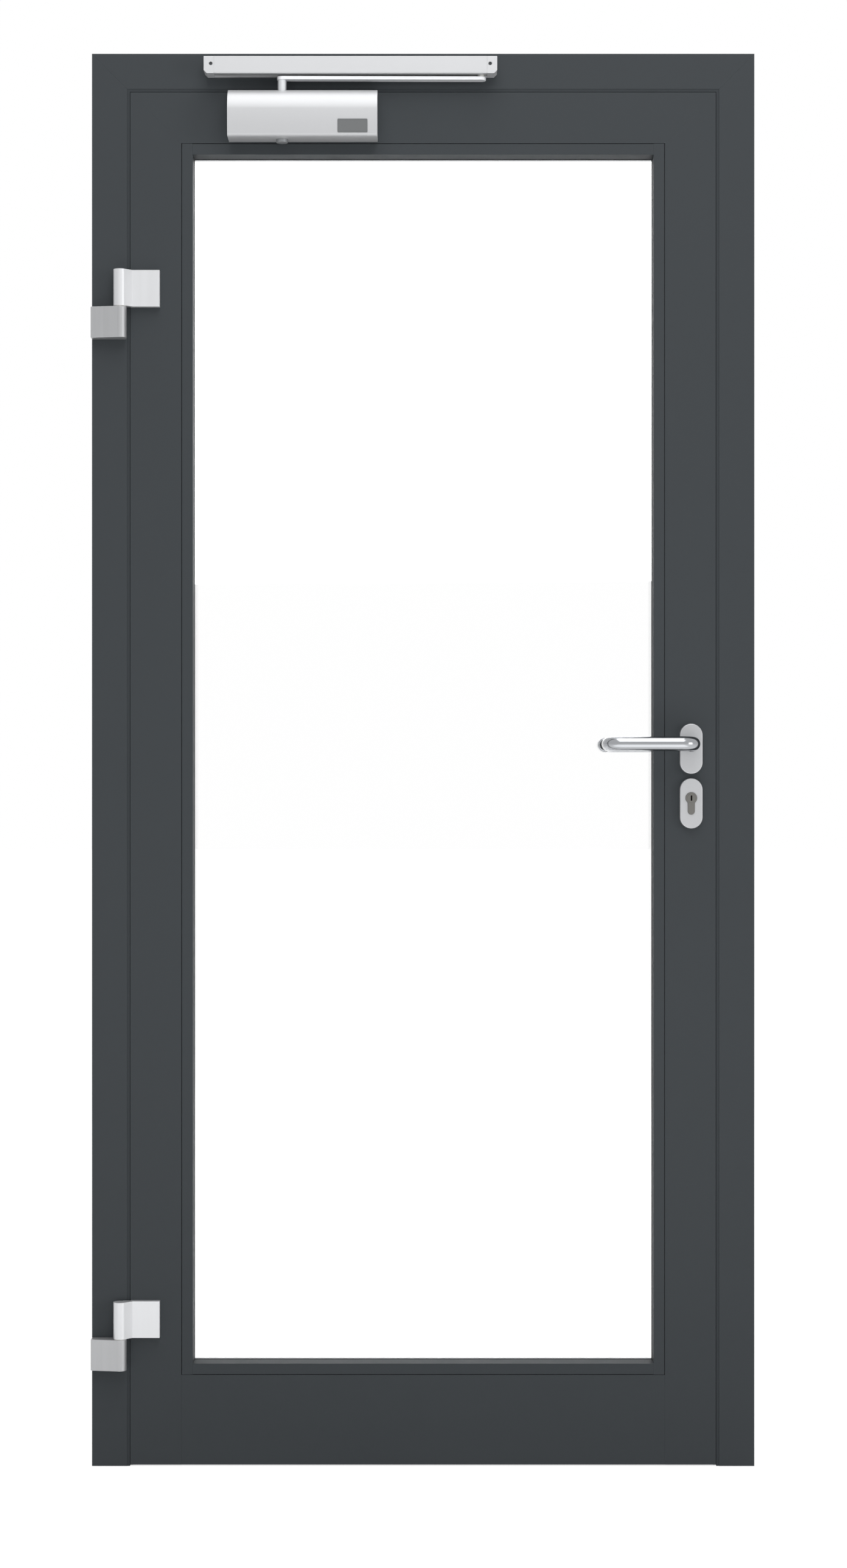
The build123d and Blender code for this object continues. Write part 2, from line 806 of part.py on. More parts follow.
hinge_lower_frame_half, hinge_upper_frame_half = (hinge_frame_half(z) for z in hinge_splits)
hinge_lower_leaf_half, hinge_upper_leaf_half = (hinge_leaf_half(z) for z in hinge_splits)
hinge_frame_bolts = hinge_bolts(
    -half_width + frame_bolt_in,
    [z - frame_half_height / 2 for z in hinge_splits],
    bolt_depth,
)
hinge_leaf_bolts = hinge_bolts(
    -half_width + leaf_bolt_in,
    [z + leaf_half_height / 2 for z in hinge_splits],
    leaf_wing_thick / 2,
)
with BuildPart() as hinge_pins:
    for split_z in hinge_splits:
        low = split_z - frame_half_height + knuckle_end
        high = split_z + leaf_half_height - knuckle_end - cleat_gap
        rod_z(hinge_x, hinge_y, (low, high), pin_radius)
with BuildPart() as hinge_bushes:
    for split_z in hinge_splits:
        high = split_z + leaf_half_height - knuckle_end
        rod_z(hinge_x, hinge_y, (split_z - bush_low, high), bush_radius)
        rod_z(hinge_x, hinge_y, (split_z - bush_low, split_z + bush_low), bush_flange_radius)
        rod_z(
            hinge_x,
            hinge_y,
            (split_z - bush_low, high),
            pin_radius + pin_clearance,
            mode=Mode.SUBTRACT,
        )

# Lock
forend_y = (lock_from_middle - forend_width / 2, lock_from_middle + forend_width / 2)
latch_y = (lock_from_middle - latch_thick / 2, lock_from_middle + latch_thick / 2)
case_inside = (lock_front + case_wall, lock_back - case_wall)
with BuildPart() as lock_case:
    block((case_x, tube_x), (lock_front, lock_back), (case_low, case_high))
    block(
        (case_x + case_wall, tube_x),
        case_inside,
        (case_low + case_wall, case_high - case_wall),
        mode=Mode.SUBTRACT,
    )
    rod_y(
        lever_x,
        (lock_front, lock_back),
        lever_height,
        follower_radius + follower_play,
        mode=Mode.SUBTRACT,
    )
    with BuildSketch(face_plane(lock_back, lever_x, plug_height)):
        euro_profile(cylinder_room)
    extrude(amount=case_thick, mode=Mode.SUBTRACT)

forend_screw_heights = (strike_low + screw_end_gap, strike_high - screw_end_gap)
cylinder_screw_z = plug_height - cylinder_screw_drop
with BuildPart() as lock_forend:
    block((tube_x, forend_x), forend_y, (strike_low, strike_high))
    fillet(lock_forend.edges().filter_by(Axis.X), forend_thick)
    for z, height in ((latch_z, latch_height), (bolt_z, bolt_height)):
        half = height / 2 + bolt_room
        block(
            (tube_x, forend_x),
            (latch_y[0] - bolt_room, latch_y[1] + bolt_room),
            (z - half, z + half),
            mode=Mode.SUBTRACT,
        )
    with Locations(
        *(
            Plane(origin=(forend_x, lock_from_middle, z), z_dir=(1, 0, 0))
            for z in forend_screw_heights
        )
    ):
        CounterSinkHole(screw_radius, screw_head_radius, depth=forend_thick)
    with Locations(Plane(origin=(forend_x, lock_from_middle, cylinder_screw_z), z_dir=(1, 0, 0))):
        CounterSinkHole(cylinder_screw_radius, screw_head_radius, depth=forend_thick)

with BuildPart() as forend_screws:
    with Locations(
        *(
            Plane(origin=(forend_x, lock_from_middle, z), z_dir=(-1, 0, 0))
            for z in forend_screw_heights
        )
    ):
        Cylinder(screw_radius, screw_length, align=(Align.CENTER, Align.CENTER, Align.MIN))
        Cone(
            screw_head_radius,
            screw_radius,
            screw_head_radius - screw_radius,
            align=(Align.CENTER, Align.CENTER, Align.MIN),
        )
    with Locations(Plane(origin=(forend_x, lock_from_middle, cylinder_screw_z), z_dir=(-1, 0, 0))):
        Cylinder(
            cylinder_screw_radius,
            forend_x - lever_x + cylinder_foot_width / 4,
            align=(Align.CENTER, Align.CENTER, Align.MIN),
        )
        Cone(
            screw_head_radius,
            cylinder_screw_radius,
            screw_head_radius - cylinder_screw_radius,
            align=(Align.CENTER, Align.CENTER, Align.MIN),
        )

# The latch: a bevelled head, a tail and the lug that the follower's nose pushes
latch_tip = forend_x + latch_reach
latch_shoulder = latch_tip - latch_length
nose_x = lever_x - nose_width / 2
lug_width = nose_width
with BuildPart() as latch_bolt:
    with BuildSketch(Plane.XY.offset(latch_z - latch_height / 2)):
        with BuildLine():
            Polyline(
                (latch_shoulder, latch_y[0]),
                (latch_tip, latch_y[0]),
                (latch_tip, latch_y[0] + latch_blunt),
                (forend_x + latch_blunt, latch_y[1]),
                (latch_shoulder, latch_y[1]),
                close=True,
            )
        make_face()
    extrude(amount=latch_height)
    tail_low = lever_height + follower_nose + latch_blunt
    block(
        (nose_x - bolt_room - lug_width, latch_shoulder),
        (lock_from_middle - nose_thick / 2, lock_from_middle + nose_thick / 2),
        (tail_low, latch_z),
    )
    block(
        (nose_x - bolt_room - lug_width, nose_x - bolt_room),
        (lock_from_middle - nose_thick / 2, lock_from_middle + nose_thick / 2),
        (lever_height + follower_radius + latch_blunt, tail_low),
    )

with BuildPart() as deadbolt:
    block(
        (forend_x - bolt_length, forend_x),
        latch_y,
        (bolt_z - bolt_height / 2, bolt_z + bolt_height / 2),
    )

square = (-spindle_side / 2, spindle_side / 2)
square_x = (lever_x + square[0], lever_x + square[1])
square_z = (lever_height + square[0], lever_height + square[1])
with BuildPart() as lock_follower:
    rod_y(lever_x, (lock_front, lock_back), lever_height, follower_radius)
    block(
        (nose_x, nose_x + nose_width),
        (lock_from_middle - nose_thick / 2, lock_from_middle + nose_thick / 2),
        (lever_height, lever_height + follower_nose),
    )
    block(square_x, (lock_front, lock_back), square_z, mode=Mode.SUBTRACT)
with BuildPart() as lever_spindle:
    block(square_x, (-spindle_half, spindle_half), square_z)


def lever(side):
    """A tube lever returned towards the leaf: side is -1 for the front and 1 for the back."""
    foot = side * (back + lever_foot_gap)
    insert = side * (back + lever_insert)
    grip = side * (back + lever_proud - lever_radius)
    end = side * (back + lever_end_gap)
    with BuildPart() as piece:
        for start, stop, radius, mode in (
            (foot, end, lever_radius, Mode.ADD),
            (insert, end + side * lever_wall, lever_radius - lever_wall, Mode.SUBTRACT),
        ):
            with BuildLine(Plane.XY.offset(lever_height)) as path:
                FilletPolyline(
                    (lever_x, start),
                    (lever_x, grip),
                    (lever_x - lever_reach, grip),
                    (lever_x - lever_reach, stop),
                    radius=lever_bend,
                )
            with BuildSketch(Plane(origin=path.line @ 0, z_dir=path.line % 0)):
                Circle(radius)
            sweep(mode=mode)
        block(square_x, (-spindle_half, spindle_half), square_z, mode=Mode.SUBTRACT)
    return piece


def rosette(side, drop, z, hole):
    """A hollow plate with rounded ends on one face of the leaf; hole names the opening it has."""
    face = side * back
    with BuildPart() as piece:
        with BuildSketch(face_plane(face, lever_x, z - drop)):
            SlotOverall(rosette_height, rosette_width, rotation=90)
        extrude(amount=-side * rosette_thick)
        with BuildSketch(face_plane(face, lever_x, z - drop)):
            SlotOverall(rosette_height - 2 * rosette_wall, rosette_width - 2 * rosette_wall, rotation=90)
        extrude(amount=-side * (rosette_thick - rosette_wall), mode=Mode.SUBTRACT)
        with BuildSketch(face_plane(face, lever_x, z)):
            if hole == "neck":
                Circle(lever_radius + neck_room)
            else:
                euro_profile(cylinder_room)
        extrude(amount=-side * rosette_thick, mode=Mode.SUBTRACT)
    return piece


lever_front, lever_back = lever(-1), lever(1)
rosette_handle_front, rosette_handle_back = (
    rosette(side, handle_rosette_drop, lever_height, "neck") for side in (-1, 1)
)
rosette_cylinder_front, rosette_cylinder_back = (
    rosette(side, cylinder_rosette_drop, plug_height, "cylinder") for side in (-1, 1)
)

# Profile cylinder with its plugs and cam
cylinder_end = back + rosette_thick + cylinder_proud
notch_y = (lock_from_middle - cam_notch / 2, lock_from_middle + cam_notch / 2)
cam_y = (notch_y[0] + cam_room, notch_y[1] - cam_room)
with BuildPart() as lock_cylinder:
    with BuildSketch(face_plane(cylinder_end, lever_x, plug_height)):
        euro_profile()
    extrude(amount=2 * cylinder_end)
    rod_y(
        lever_x,
        (-cylinder_end, cylinder_end),
        plug_height,
        plug_radius + plug_play,
        mode=Mode.SUBTRACT,
    )
    block(
        (lever_x - rosette_width / 2, lever_x + rosette_width / 2),
        notch_y,
        (
            plug_height - cam_radius - cam_notch_room,
            plug_height + cylinder_head_radius + cam_notch_room,
        ),
        mode=Mode.SUBTRACT,
    )
    rod_x(
        (lever_x - cylinder_foot_width / 4, lever_x + cylinder_foot_width / 2),
        lock_from_middle,
        cylinder_screw_z,
        cylinder_screw_radius,
        mode=Mode.SUBTRACT,
    )
with BuildPart() as cylinder_plugs:
    for side, inner in ((-1, cam_y[0]), (1, cam_y[1])):
        outer = side * cylinder_end
        rod_y(lever_x, (min(outer, inner), max(outer, inner)), plug_height, plug_radius)
        slot_end = outer - side * key_slot_depth
        block(
            (lever_x - key_slot_width / 2, lever_x + key_slot_width / 2),
            (min(outer, slot_end), max(outer, slot_end)),
            (plug_height - key_slot_height / 2, plug_height + key_slot_height / 2),
            mode=Mode.SUBTRACT,
        )
with BuildPart() as cylinder_cam:
    rod_y(lever_x, cam_y, plug_height, cam_core_radius)
    block(
        (lever_x - cam_width / 2, lever_x + cam_width / 2),
        cam_y,
        (plug_height - cam_radius + cam_room * 4, plug_height),
    )

# Door closer on the leaf
cover_back = front - cover_off_leaf
cover_front = front - closer_proud


def cover_section(inset, y):
    """The closer cover's section, taken in by inset, from depth y at its back."""
    with BuildPart() as piece:
        half = closer_length / 2 - inset
        block(
            (closer_x - half, closer_x + half),
            (cover_front + inset, y),
            (closer_bottom + inset, closer_top - inset),
        )
        front_edges = piece.edges().filter_by(Axis.X).group_by(Axis.Y)[0].sort_by(Axis.Z)
        fillet(front_edges[-1], closer_crown - inset)
        fillet(
            piece.edges().filter_by(Axis.X).group_by(Axis.Y)[0].sort_by(Axis.Z)[0],
            closer_lower_round - inset,
        )
    return piece.part


with BuildPart() as closer_cover:
    add(cover_section(0, cover_back))
    add(cover_section(cover_wall, cover_back), mode=Mode.SUBTRACT)
    rod_z(
        spindle_x,
        spindle_y,
        (closer_bottom, closer_top),
        boss_radius + boss_room,
        mode=Mode.SUBTRACT,
    )

with BuildPart() as closer_plate:
    block(
        (closer_x - casting_half, closer_x + casting_half),
        (front - plate_thick, front),
        (casting_middle - plate_height / 2, casting_middle + plate_height / 2),
    )
    for x in screw_columns:
        for z in screw_rows:
            rod_y(x, (front - plate_thick, front), z, casting_screw_radius, mode=Mode.SUBTRACT)

with BuildPart() as closer_body:
    block(
        (closer_x - casting_half, closer_x + casting_half),
        (casting_front, front - plate_thick),
        (casting_low, casting_high),
    )
    front_edges = closer_body.edges().filter_by(Axis.X).group_by(Axis.Y)[0].sort_by(Axis.Z)
    fillet(front_edges[-1], casting_round)
    rod_z(spindle_x, spindle_y, (closer_bottom - boss_below, casting_low), boss_radius)
    rod_z(
        spindle_x,
        spindle_y,
        (casting_low + spindle_foot, casting_high),
        spindle_radius + spindle_play,
        mode=Mode.SUBTRACT,
    )
    for x in screw_columns:
        for z in screw_rows:
            rod_y(x, (casting_front, front - plate_thick), z, casting_screw_radius, mode=Mode.SUBTRACT)
            rod_y(
                x,
                (casting_front, front - plate_thick - casting_head_depth),
                z,
                casting_head_radius,
                mode=Mode.SUBTRACT,
            )

with BuildPart() as closer_screws:
    for x in screw_columns:
        for z in screw_rows:
            head_back = front - plate_thick - casting_head_depth
            rod_y(x, (head_back, front + wall + screw_past_wall), z, casting_screw_radius)
            rod_y(x, (head_back - casting_head_depth / 2, head_back), z, casting_head_radius)

badge_end = closer_x + closer_length / 2 - badge_from_end
badge_low = closer_bottom + badge_from_bottom
with BuildPart() as closer_badge:
    block(
        (badge_end - badge_width, badge_end),
        (cover_front - badge_thick, cover_front),
        (badge_low, badge_low + badge_height),
    )
    fillet(closer_badge.edges().filter_by(Axis.Y), badge_thick)

# Spindle and arm, which turn together
arm_half = arm_square / 2
with BuildPart() as closer_spindle:
    rod_z(spindle_x, spindle_y, (casting_low + spindle_foot + cleat_gap, arm_bottom), spindle_radius)
    block(
        (spindle_x - arm_half, spindle_x + arm_half),
        (spindle_y - arm_half, spindle_y + arm_half),
        (arm_bottom, arm_bottom + arm_thick),
    )

arm_length = hypot(slider_x - spindle_x, rail_y - spindle_y)
with BuildPart() as closer_arm:
    with BuildSketch(
        Plane(
            origin=(spindle_x, spindle_y, arm_bottom),
            x_dir=(slider_x - spindle_x, rail_y - spindle_y, 0),
            z_dir=(0, 0, 1),
        )
    ):
        with Locations((arm_length / 2, 0)):
            SlotCenterToCenter(arm_length, 2 * arm_radius)
    extrude(amount=arm_thick)
    block(
        (spindle_x - arm_half, spindle_x + arm_half),
        (spindle_y - arm_half, spindle_y + arm_half),
        (arm_bottom, arm_bottom + arm_thick),
        mode=Mode.SUBTRACT,
    )

# Guide rail on the head, with the slider inside it
inside_y = (rail_front + rail_wall, front - rail_wall)
inside_z = (rail_bottom + rail_wall, rail_top - rail_wall)
slot_half = slider_pin_radius + rail_slot_room
with BuildPart() as closer_rail:
    block((rail_start + cap_length, rail_end - cap_length), (rail_front, front), (rail_bottom, rail_top))
    block((rail_start + cap_length, rail_end - cap_length), inside_y, inside_z, mode=Mode.SUBTRACT)
    block(
        (rail_start + cap_length, rail_end - cap_length),
        (rail_y - slot_half, rail_y + slot_half),
        (rail_bottom, inside_z[0]),
        mode=Mode.SUBTRACT,
    )


def end_cap(outer, inner):
    """A block that closes the rail, from its outer to its inner end along X."""
    with BuildPart() as piece:
        block(
            (min(outer, inner), max(outer, inner)), (rail_front, front), (rail_bottom, rail_top)
        )
        ends = piece.edges().filter_by(Axis.Y).group_by(Axis.Z)[0].sort_by(Axis.X)
        chamfer(ends[0] if outer < inner else ends[-1], cap_chamfer)
        x = outer + cap_screw_in * (1 if outer < inner else -1)
        z = rail_bottom + cap_screw_up
        rod_y(x, (rail_front, front), z, cap_screw_radius, mode=Mode.SUBTRACT)
        rod_y(
            x,
            (rail_front, rail_front + cap_screw_head),
            z,
            cap_screw_head_radius,
            mode=Mode.SUBTRACT,
        )
    return piece


rail_cap_left = end_cap(rail_start, rail_start + cap_length)
rail_cap_right = end_cap(rail_end, rail_end - cap_length)
with BuildPart() as rail_screws:
    for x in (rail_start + cap_screw_in, rail_end - cap_screw_in):
        z = rail_bottom + cap_screw_up
        rod_y(x, (rail_front, front + wall + screw_past_wall), z, cap_screw_radius)
        rod_y(x, (rail_front, rail_front + cap_screw_head), z, cap_screw_head_radius)

with BuildPart() as rail_slider:
    block(
        (slider_x - slider_before, slider_x + slider_after),
        (inside_y[0] + slider_play, inside_y[1] - slider_play),
        (inside_z[0] + slider_play, inside_z[0] + slider_play + slider_height),
    )
    rod_z(
        slider_x,
        rail_y,
        (arm_bottom + arm_thick + pin_above_arm, inside_z[0] + slider_play),
        slider_pin_radius,
    )

os.makedirs("parts", exist_ok=True)
pieces = {
    "frame_jamb_left": frame_jamb_left,
    "frame_jamb_right": frame_jamb_right,
    "frame_head": frame_head,
    "frame_corner_cleats": frame_corner_cleats,
    "frame_inner_seal": frame_inner_seal,
    "frame_outer_seal": frame_outer_seal,
    "strike_plate": strike_plate,
    "strike_screws": strike_screws,
    "hinge_lower_frame_half": hinge_lower_frame_half,
    "hinge_upper_frame_half": hinge_upper_frame_half,
    "hinge_pins": hinge_pins,
    "hinge_frame_bolts": hinge_frame_bolts,
    "closer_rail": closer_rail,
    "rail_cap_left": rail_cap_left,
    "rail_cap_right": rail_cap_right,
    "rail_screws": rail_screws,
    "leaf_stile_left": leaf_stile_left,
    "leaf_stile_right": leaf_stile_right,
    "leaf_top_rail": leaf_top_rail,
    "leaf_bottom_rail": leaf_bottom_rail,
    "leaf_corner_cleats": leaf_corner_cleats,
    "bottom_seal": bottom_seal,
    "glass_pane_front": glass_pane_front,
    "glass_pane_back": glass_pane_back,
    "glass_spacer": glass_spacer,
    "bead_left": bead_left,
    "bead_right": bead_right,
    "bead_top": bead_top,
    "bead_bottom": bead_bottom,
    "glazing_gasket_front": glazing_gasket_front,
    "glazing_gasket_back": glazing_gasket_back,
    "setting_blocks": setting_blocks,
    "hinge_lower_leaf_half": hinge_lower_leaf_half,
    "hinge_upper_leaf_half": hinge_upper_leaf_half,
    "hinge_bushes": hinge_bushes,
    "hinge_leaf_bolts": hinge_leaf_bolts,
    "closer_plate": closer_plate,
    "closer_body": closer_body,
    "closer_cover": closer_cover,
    "closer_badge": closer_badge,
    "closer_screws": closer_screws,
    "lock_case": lock_case,
    "lock_forend": lock_forend,
    "forend_screws": forend_screws,
    "lock_cylinder": lock_cylinder,
    "rosette_handle_front": rosette_handle_front,
    "rosette_handle_back": rosette_handle_back,
    "rosette_cylinder_front": rosette_cylinder_front,
    "rosette_cylinder_back": rosette_cylinder_back,
    "closer_spindle": closer_spindle,
    "closer_arm": closer_arm,
    "rail_slider": rail_slider,
    "lever_front": lever_front,
    "lever_back": lever_back,
    "lever_spindle": lever_spindle,
    "lock_follower": lock_follower,
    "latch_bolt": latch_bolt,
    "cylinder_plugs": cylinder_plugs,
    "cylinder_cam": cylinder_cam,
    "deadbolt": deadbolt,
}
for name, piece in pieces.items():
    write(piece, name)
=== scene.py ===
"""A glazed aluminium door in its own frame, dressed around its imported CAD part."""

import json
import math

import bmesh
import bpy
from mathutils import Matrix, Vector


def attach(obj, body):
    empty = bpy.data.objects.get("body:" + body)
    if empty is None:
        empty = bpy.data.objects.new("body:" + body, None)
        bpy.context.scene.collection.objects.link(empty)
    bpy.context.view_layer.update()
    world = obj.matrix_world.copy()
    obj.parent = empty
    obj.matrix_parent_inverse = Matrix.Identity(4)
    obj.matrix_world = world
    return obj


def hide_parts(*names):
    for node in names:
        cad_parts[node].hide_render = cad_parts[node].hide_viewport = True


bl_info = {
    "name": "Glazed door with frame",
    "version": (1, 0, 0),
    "blender": (4, 5, 0),
    "location": "3D View > Sidebar > Door",
    "description": "Dresses a glazed door's CAD part: profiles, glass, hinges, closer, handles",
    "category": "Object",
}

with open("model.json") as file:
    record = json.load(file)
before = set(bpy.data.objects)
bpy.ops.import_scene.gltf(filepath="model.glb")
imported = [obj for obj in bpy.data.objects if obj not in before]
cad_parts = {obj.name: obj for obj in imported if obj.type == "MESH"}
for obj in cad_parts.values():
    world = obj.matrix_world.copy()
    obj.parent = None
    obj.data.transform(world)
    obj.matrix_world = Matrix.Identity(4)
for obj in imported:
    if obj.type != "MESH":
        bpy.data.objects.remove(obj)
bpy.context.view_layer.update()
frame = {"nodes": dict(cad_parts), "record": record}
NODES = frame["nodes"]
BODY_OF = {
    node: body
    for body, members in frame["record"]["behaviour"]["bodies"].items()
    for node in members
}
MM = 0.001

# Places that the CAD part gives, in millimetres
HALF_WIDTH = 495.0
FACE = -32.5  # front of the frame and the leaf
KNUCKLE = (-451.5, -47.5)  # hinge axis
KNUCKLE_RADIUS = 10.0
SPLITS = (193.0, 1730.0)  # joint between the halves of each hinge
LEVER_X = 400.0  # middle of the rosettes
LEVER_Z = 1078.5  # height of the levers
PLUG_Z = 998.0  # height of the lock cylinder's plug
ROSETTE_HALF = (17.0, 37.5)  # half the width and half the height
ROSETTE_THICK = 9.0
COVER_X = (-290.0, -68.0)
COVER_Y = (-78.5, -33.0)
COVER_Z = (1978.0, 2051.8)
CROWN = 34.0  # radius of the cover's curved top
COVER_WALL = 2.0
BADGE_X = (-126.7, -82.3)
BADGE_Z = (1982.5, 2002.3)
SPINDLE = (-210.0, -49.5)
SPINDLE_HOLE = 8.8  # radius of the hole in the cover
ARM_Z = (2066.0, 2071.0)
ARM_END = (86.0, -46.75)  # pin of the slider
RAIL_X = (-326.0, 110.0)
RAIL_Y = (-61.0, -32.5)
RAIL_Z = (2074.0, 2099.5)
RAIL_WALL = 2.2
CAP_LENGTH = 15.0

# The finish of each material slot of the record
SLOT_FINISH = {
    "frame_paint": "powder_coat",
    "bare_aluminium": "mill_aluminium",
    "seal_rubber": "epdm_rubber",
    "seal_grey": "grey_seal_rubber",
    "setting_plastic": "polypropylene",
    "pane_glass": "float_glass",
    "hinge_metal": "anodised_aluminium",
    "bush_plastic": "acetal",
    "steel": "zinc_plated_steel",
    "closer_silver": "silver_lacquer",
    "closer_casting": "cast_aluminium",
    "badge_grey": "badge_lacquer",
    "lever_polish": "polished_steel",
    "rosette_satin": "satin_steel",
    "cylinder_metal": "nickel_plate",
}
SLOT_OF = {
    node.name: node.material_slots[0].material.name.split(".")[0] for node in NODES.values()
}
FINISHES = {}


def linear(hex_colour):
    """An sRGB hex colour as linear red, green, blue and alpha."""
    parts = [int(hex_colour[i : i + 2], 16) / 255 for i in (1, 3, 5)]
    return (*(c / 12.92 if c <= 0.04045 else ((c + 0.055) / 1.055) ** 2.4 for c in parts), 1.0)


def tone(colour, factor):
    """A colour made lighter or darker by a factor."""
    return (*(min(c * factor, 1.0) for c in colour[:3]), 1.0)


# ---------------------------------------------------------------- sizes and colours for a user
def colour(name, description, hex_colour):
    """A colour that a user can change."""
    return bpy.props.FloatVectorProperty(
        name=name,
        description=description,
        default=linear(hex_colour),
        size=4,
        min=0.0,
        max=1.0,
        subtype="COLOR",
    )


def length(name, description, default_mm, low_mm=0.1, high_mm=3.0):
    """A length that a user can change."""
    return bpy.props.FloatProperty(
        name=name,
        description=description,
        default=default_mm * MM,
        min=low_mm * MM,
        max=high_mm * MM,
        unit="LENGTH",
        subtype="DISTANCE",
    )


class DOOR_PG_colours(bpy.types.PropertyGroup):
    """Colours of the door's visible materials"""

    paint: colour("Paint", "Powder coat of the frame, the leaf and the beads", "#3e4245")
    rubber: colour("Rubber", "Glazing gaskets and bottom seal", "#17181a")
    grey_seal: colour("Grey seal", "Seals between the frame and the leaf", "#383c3f")
    hinge: colour("Hinge", "Anodised hinge halves", "#cfd0d2")
    lacquer: colour("Lacquer", "Closer cover, arm and guide rail", "#cbccce")
    badge: colour("Badge", "Blank plate on the closer", "#6c6e6f")
    lever: colour("Lever", "Polished steel levers", "#9fa1a4")
    rosette: colour("Rosette", "Satin steel rosettes", "#b0b1b3")
    # The cylinder's grey is darkened as painted shade of its recess in the rosette.
    cylinder: colour("Cylinder", "Nickel plate of the lock cylinder", "#6f6e6b")


class DOOR_PG_edges(bpy.types.PropertyGroup):
    """Edge roundings of the door's parts"""

    profile: length("Profile edge", "Rounding of the extruded profiles' corners", 0.25)
    seal: length("Seal edge", "Rounding of the seals' corners", 0.3)
    pane: length("Pane edge", "Seam ground along the glass edges", 0.5)
    hinge: length("Hinge edge", "Rounding of the hinge halves", 0.9)
    cover: length("Cover edge", "Rounding of the closer cover's ends", 0.8)
    rail: length("Rail edge", "Rounding of the guide rail and its caps", 0.5)
    rosette: length("Rosette edge", "Rounding round the rosettes' front", 1.5)
    fitting: length("Fitting edge", "Rounding of the lock's visible parts", 0.3)


# ---------------------------------------------------------------- materials
def add_node(tree, kind, settings=None, inputs=None):
    """Adds a node with its settings. An input is a value or another node's output."""
    node = tree.nodes.new(kind)
    for name, value in (settings or {}).items():
        setattr(node, name, value)
    for name, value in (inputs or {}).items():
        if isinstance(value, bpy.types.NodeSocket):
            tree.links.new(value, node.inputs[name])
        else:
            node.inputs[name].default_value = value
    return node


def grained(name, colour, spread, grain_mm, rough, relief_mm, stretch=(1, 1, 1), patch_mm=80.0):
    """A finish whose colour, gloss and relief vary over a fine grain and, less, over wide patches.

    spread is how far the colour varies either way, stretch draws the grain out along an axis whose
    number is below 1, and relief_mm is the height of the grain.
    """
    material = bpy.data.materials.new(name)
    material.use_nodes = True
    tree = material.node_tree
    tree.nodes.clear()
    shader = add_node(tree, "ShaderNodeBsdfPrincipled")
    add_node(tree, "ShaderNodeOutputMaterial", inputs={"Surface": shader.outputs["BSDF"]})
    place = add_node(tree, "ShaderNodeTexCoord")
    drawn = add_node(
        tree,
        "ShaderNodeMapping",
        inputs={"Vector": place.outputs["Object"], "Scale": stretch},
    )
    grain = add_node(
        tree,
        "ShaderNodeTexNoise",
        inputs={"Vector": drawn.outputs["Vector"], "Scale": 1 / (grain_mm * MM), "Detail": 3.0},
    )
    patches = add_node(
        tree,
        "ShaderNodeTexNoise",
        inputs={"Vector": place.outputs["Object"], "Scale": 1 / (patch_mm * MM), "Detail": 2.0},
    )
    both = add_node(
        tree,
        "ShaderNodeMix",
        {"data_type": "FLOAT"},
        {"Factor": 0.4, "A": grain.outputs["Fac"], "B": patches.outputs["Fac"]},
    )
    tint = add_node(
        tree,
        "ShaderNodeMix",
        {"data_type": "RGBA"},
        {
            "Factor": both.outputs["Result"],
            "A": tone(colour, 1 - spread),
            "B": tone(colour, 1 + spread),
        },
    )
    gloss = add_node(
        tree,
        "ShaderNodeMapRange",
        inputs={"Value": both.outputs["Result"], "To Min": rough[0], "To Max": rough[1]},
    )
    relief = add_node(
        tree,
        "ShaderNodeBump",
        inputs={"Height": grain.outputs["Fac"], "Strength": 1.0, "Distance": relief_mm * MM},
    )
    tree.links.new(tint.outputs["Result"], shader.inputs["Base Color"])
    tree.links.new(gloss.outputs["Result"], shader.inputs["Roughness"])
    tree.links.new(relief.outputs["Normal"], shader.inputs["Normal"])
    FINISHES[name] = material
    return shader


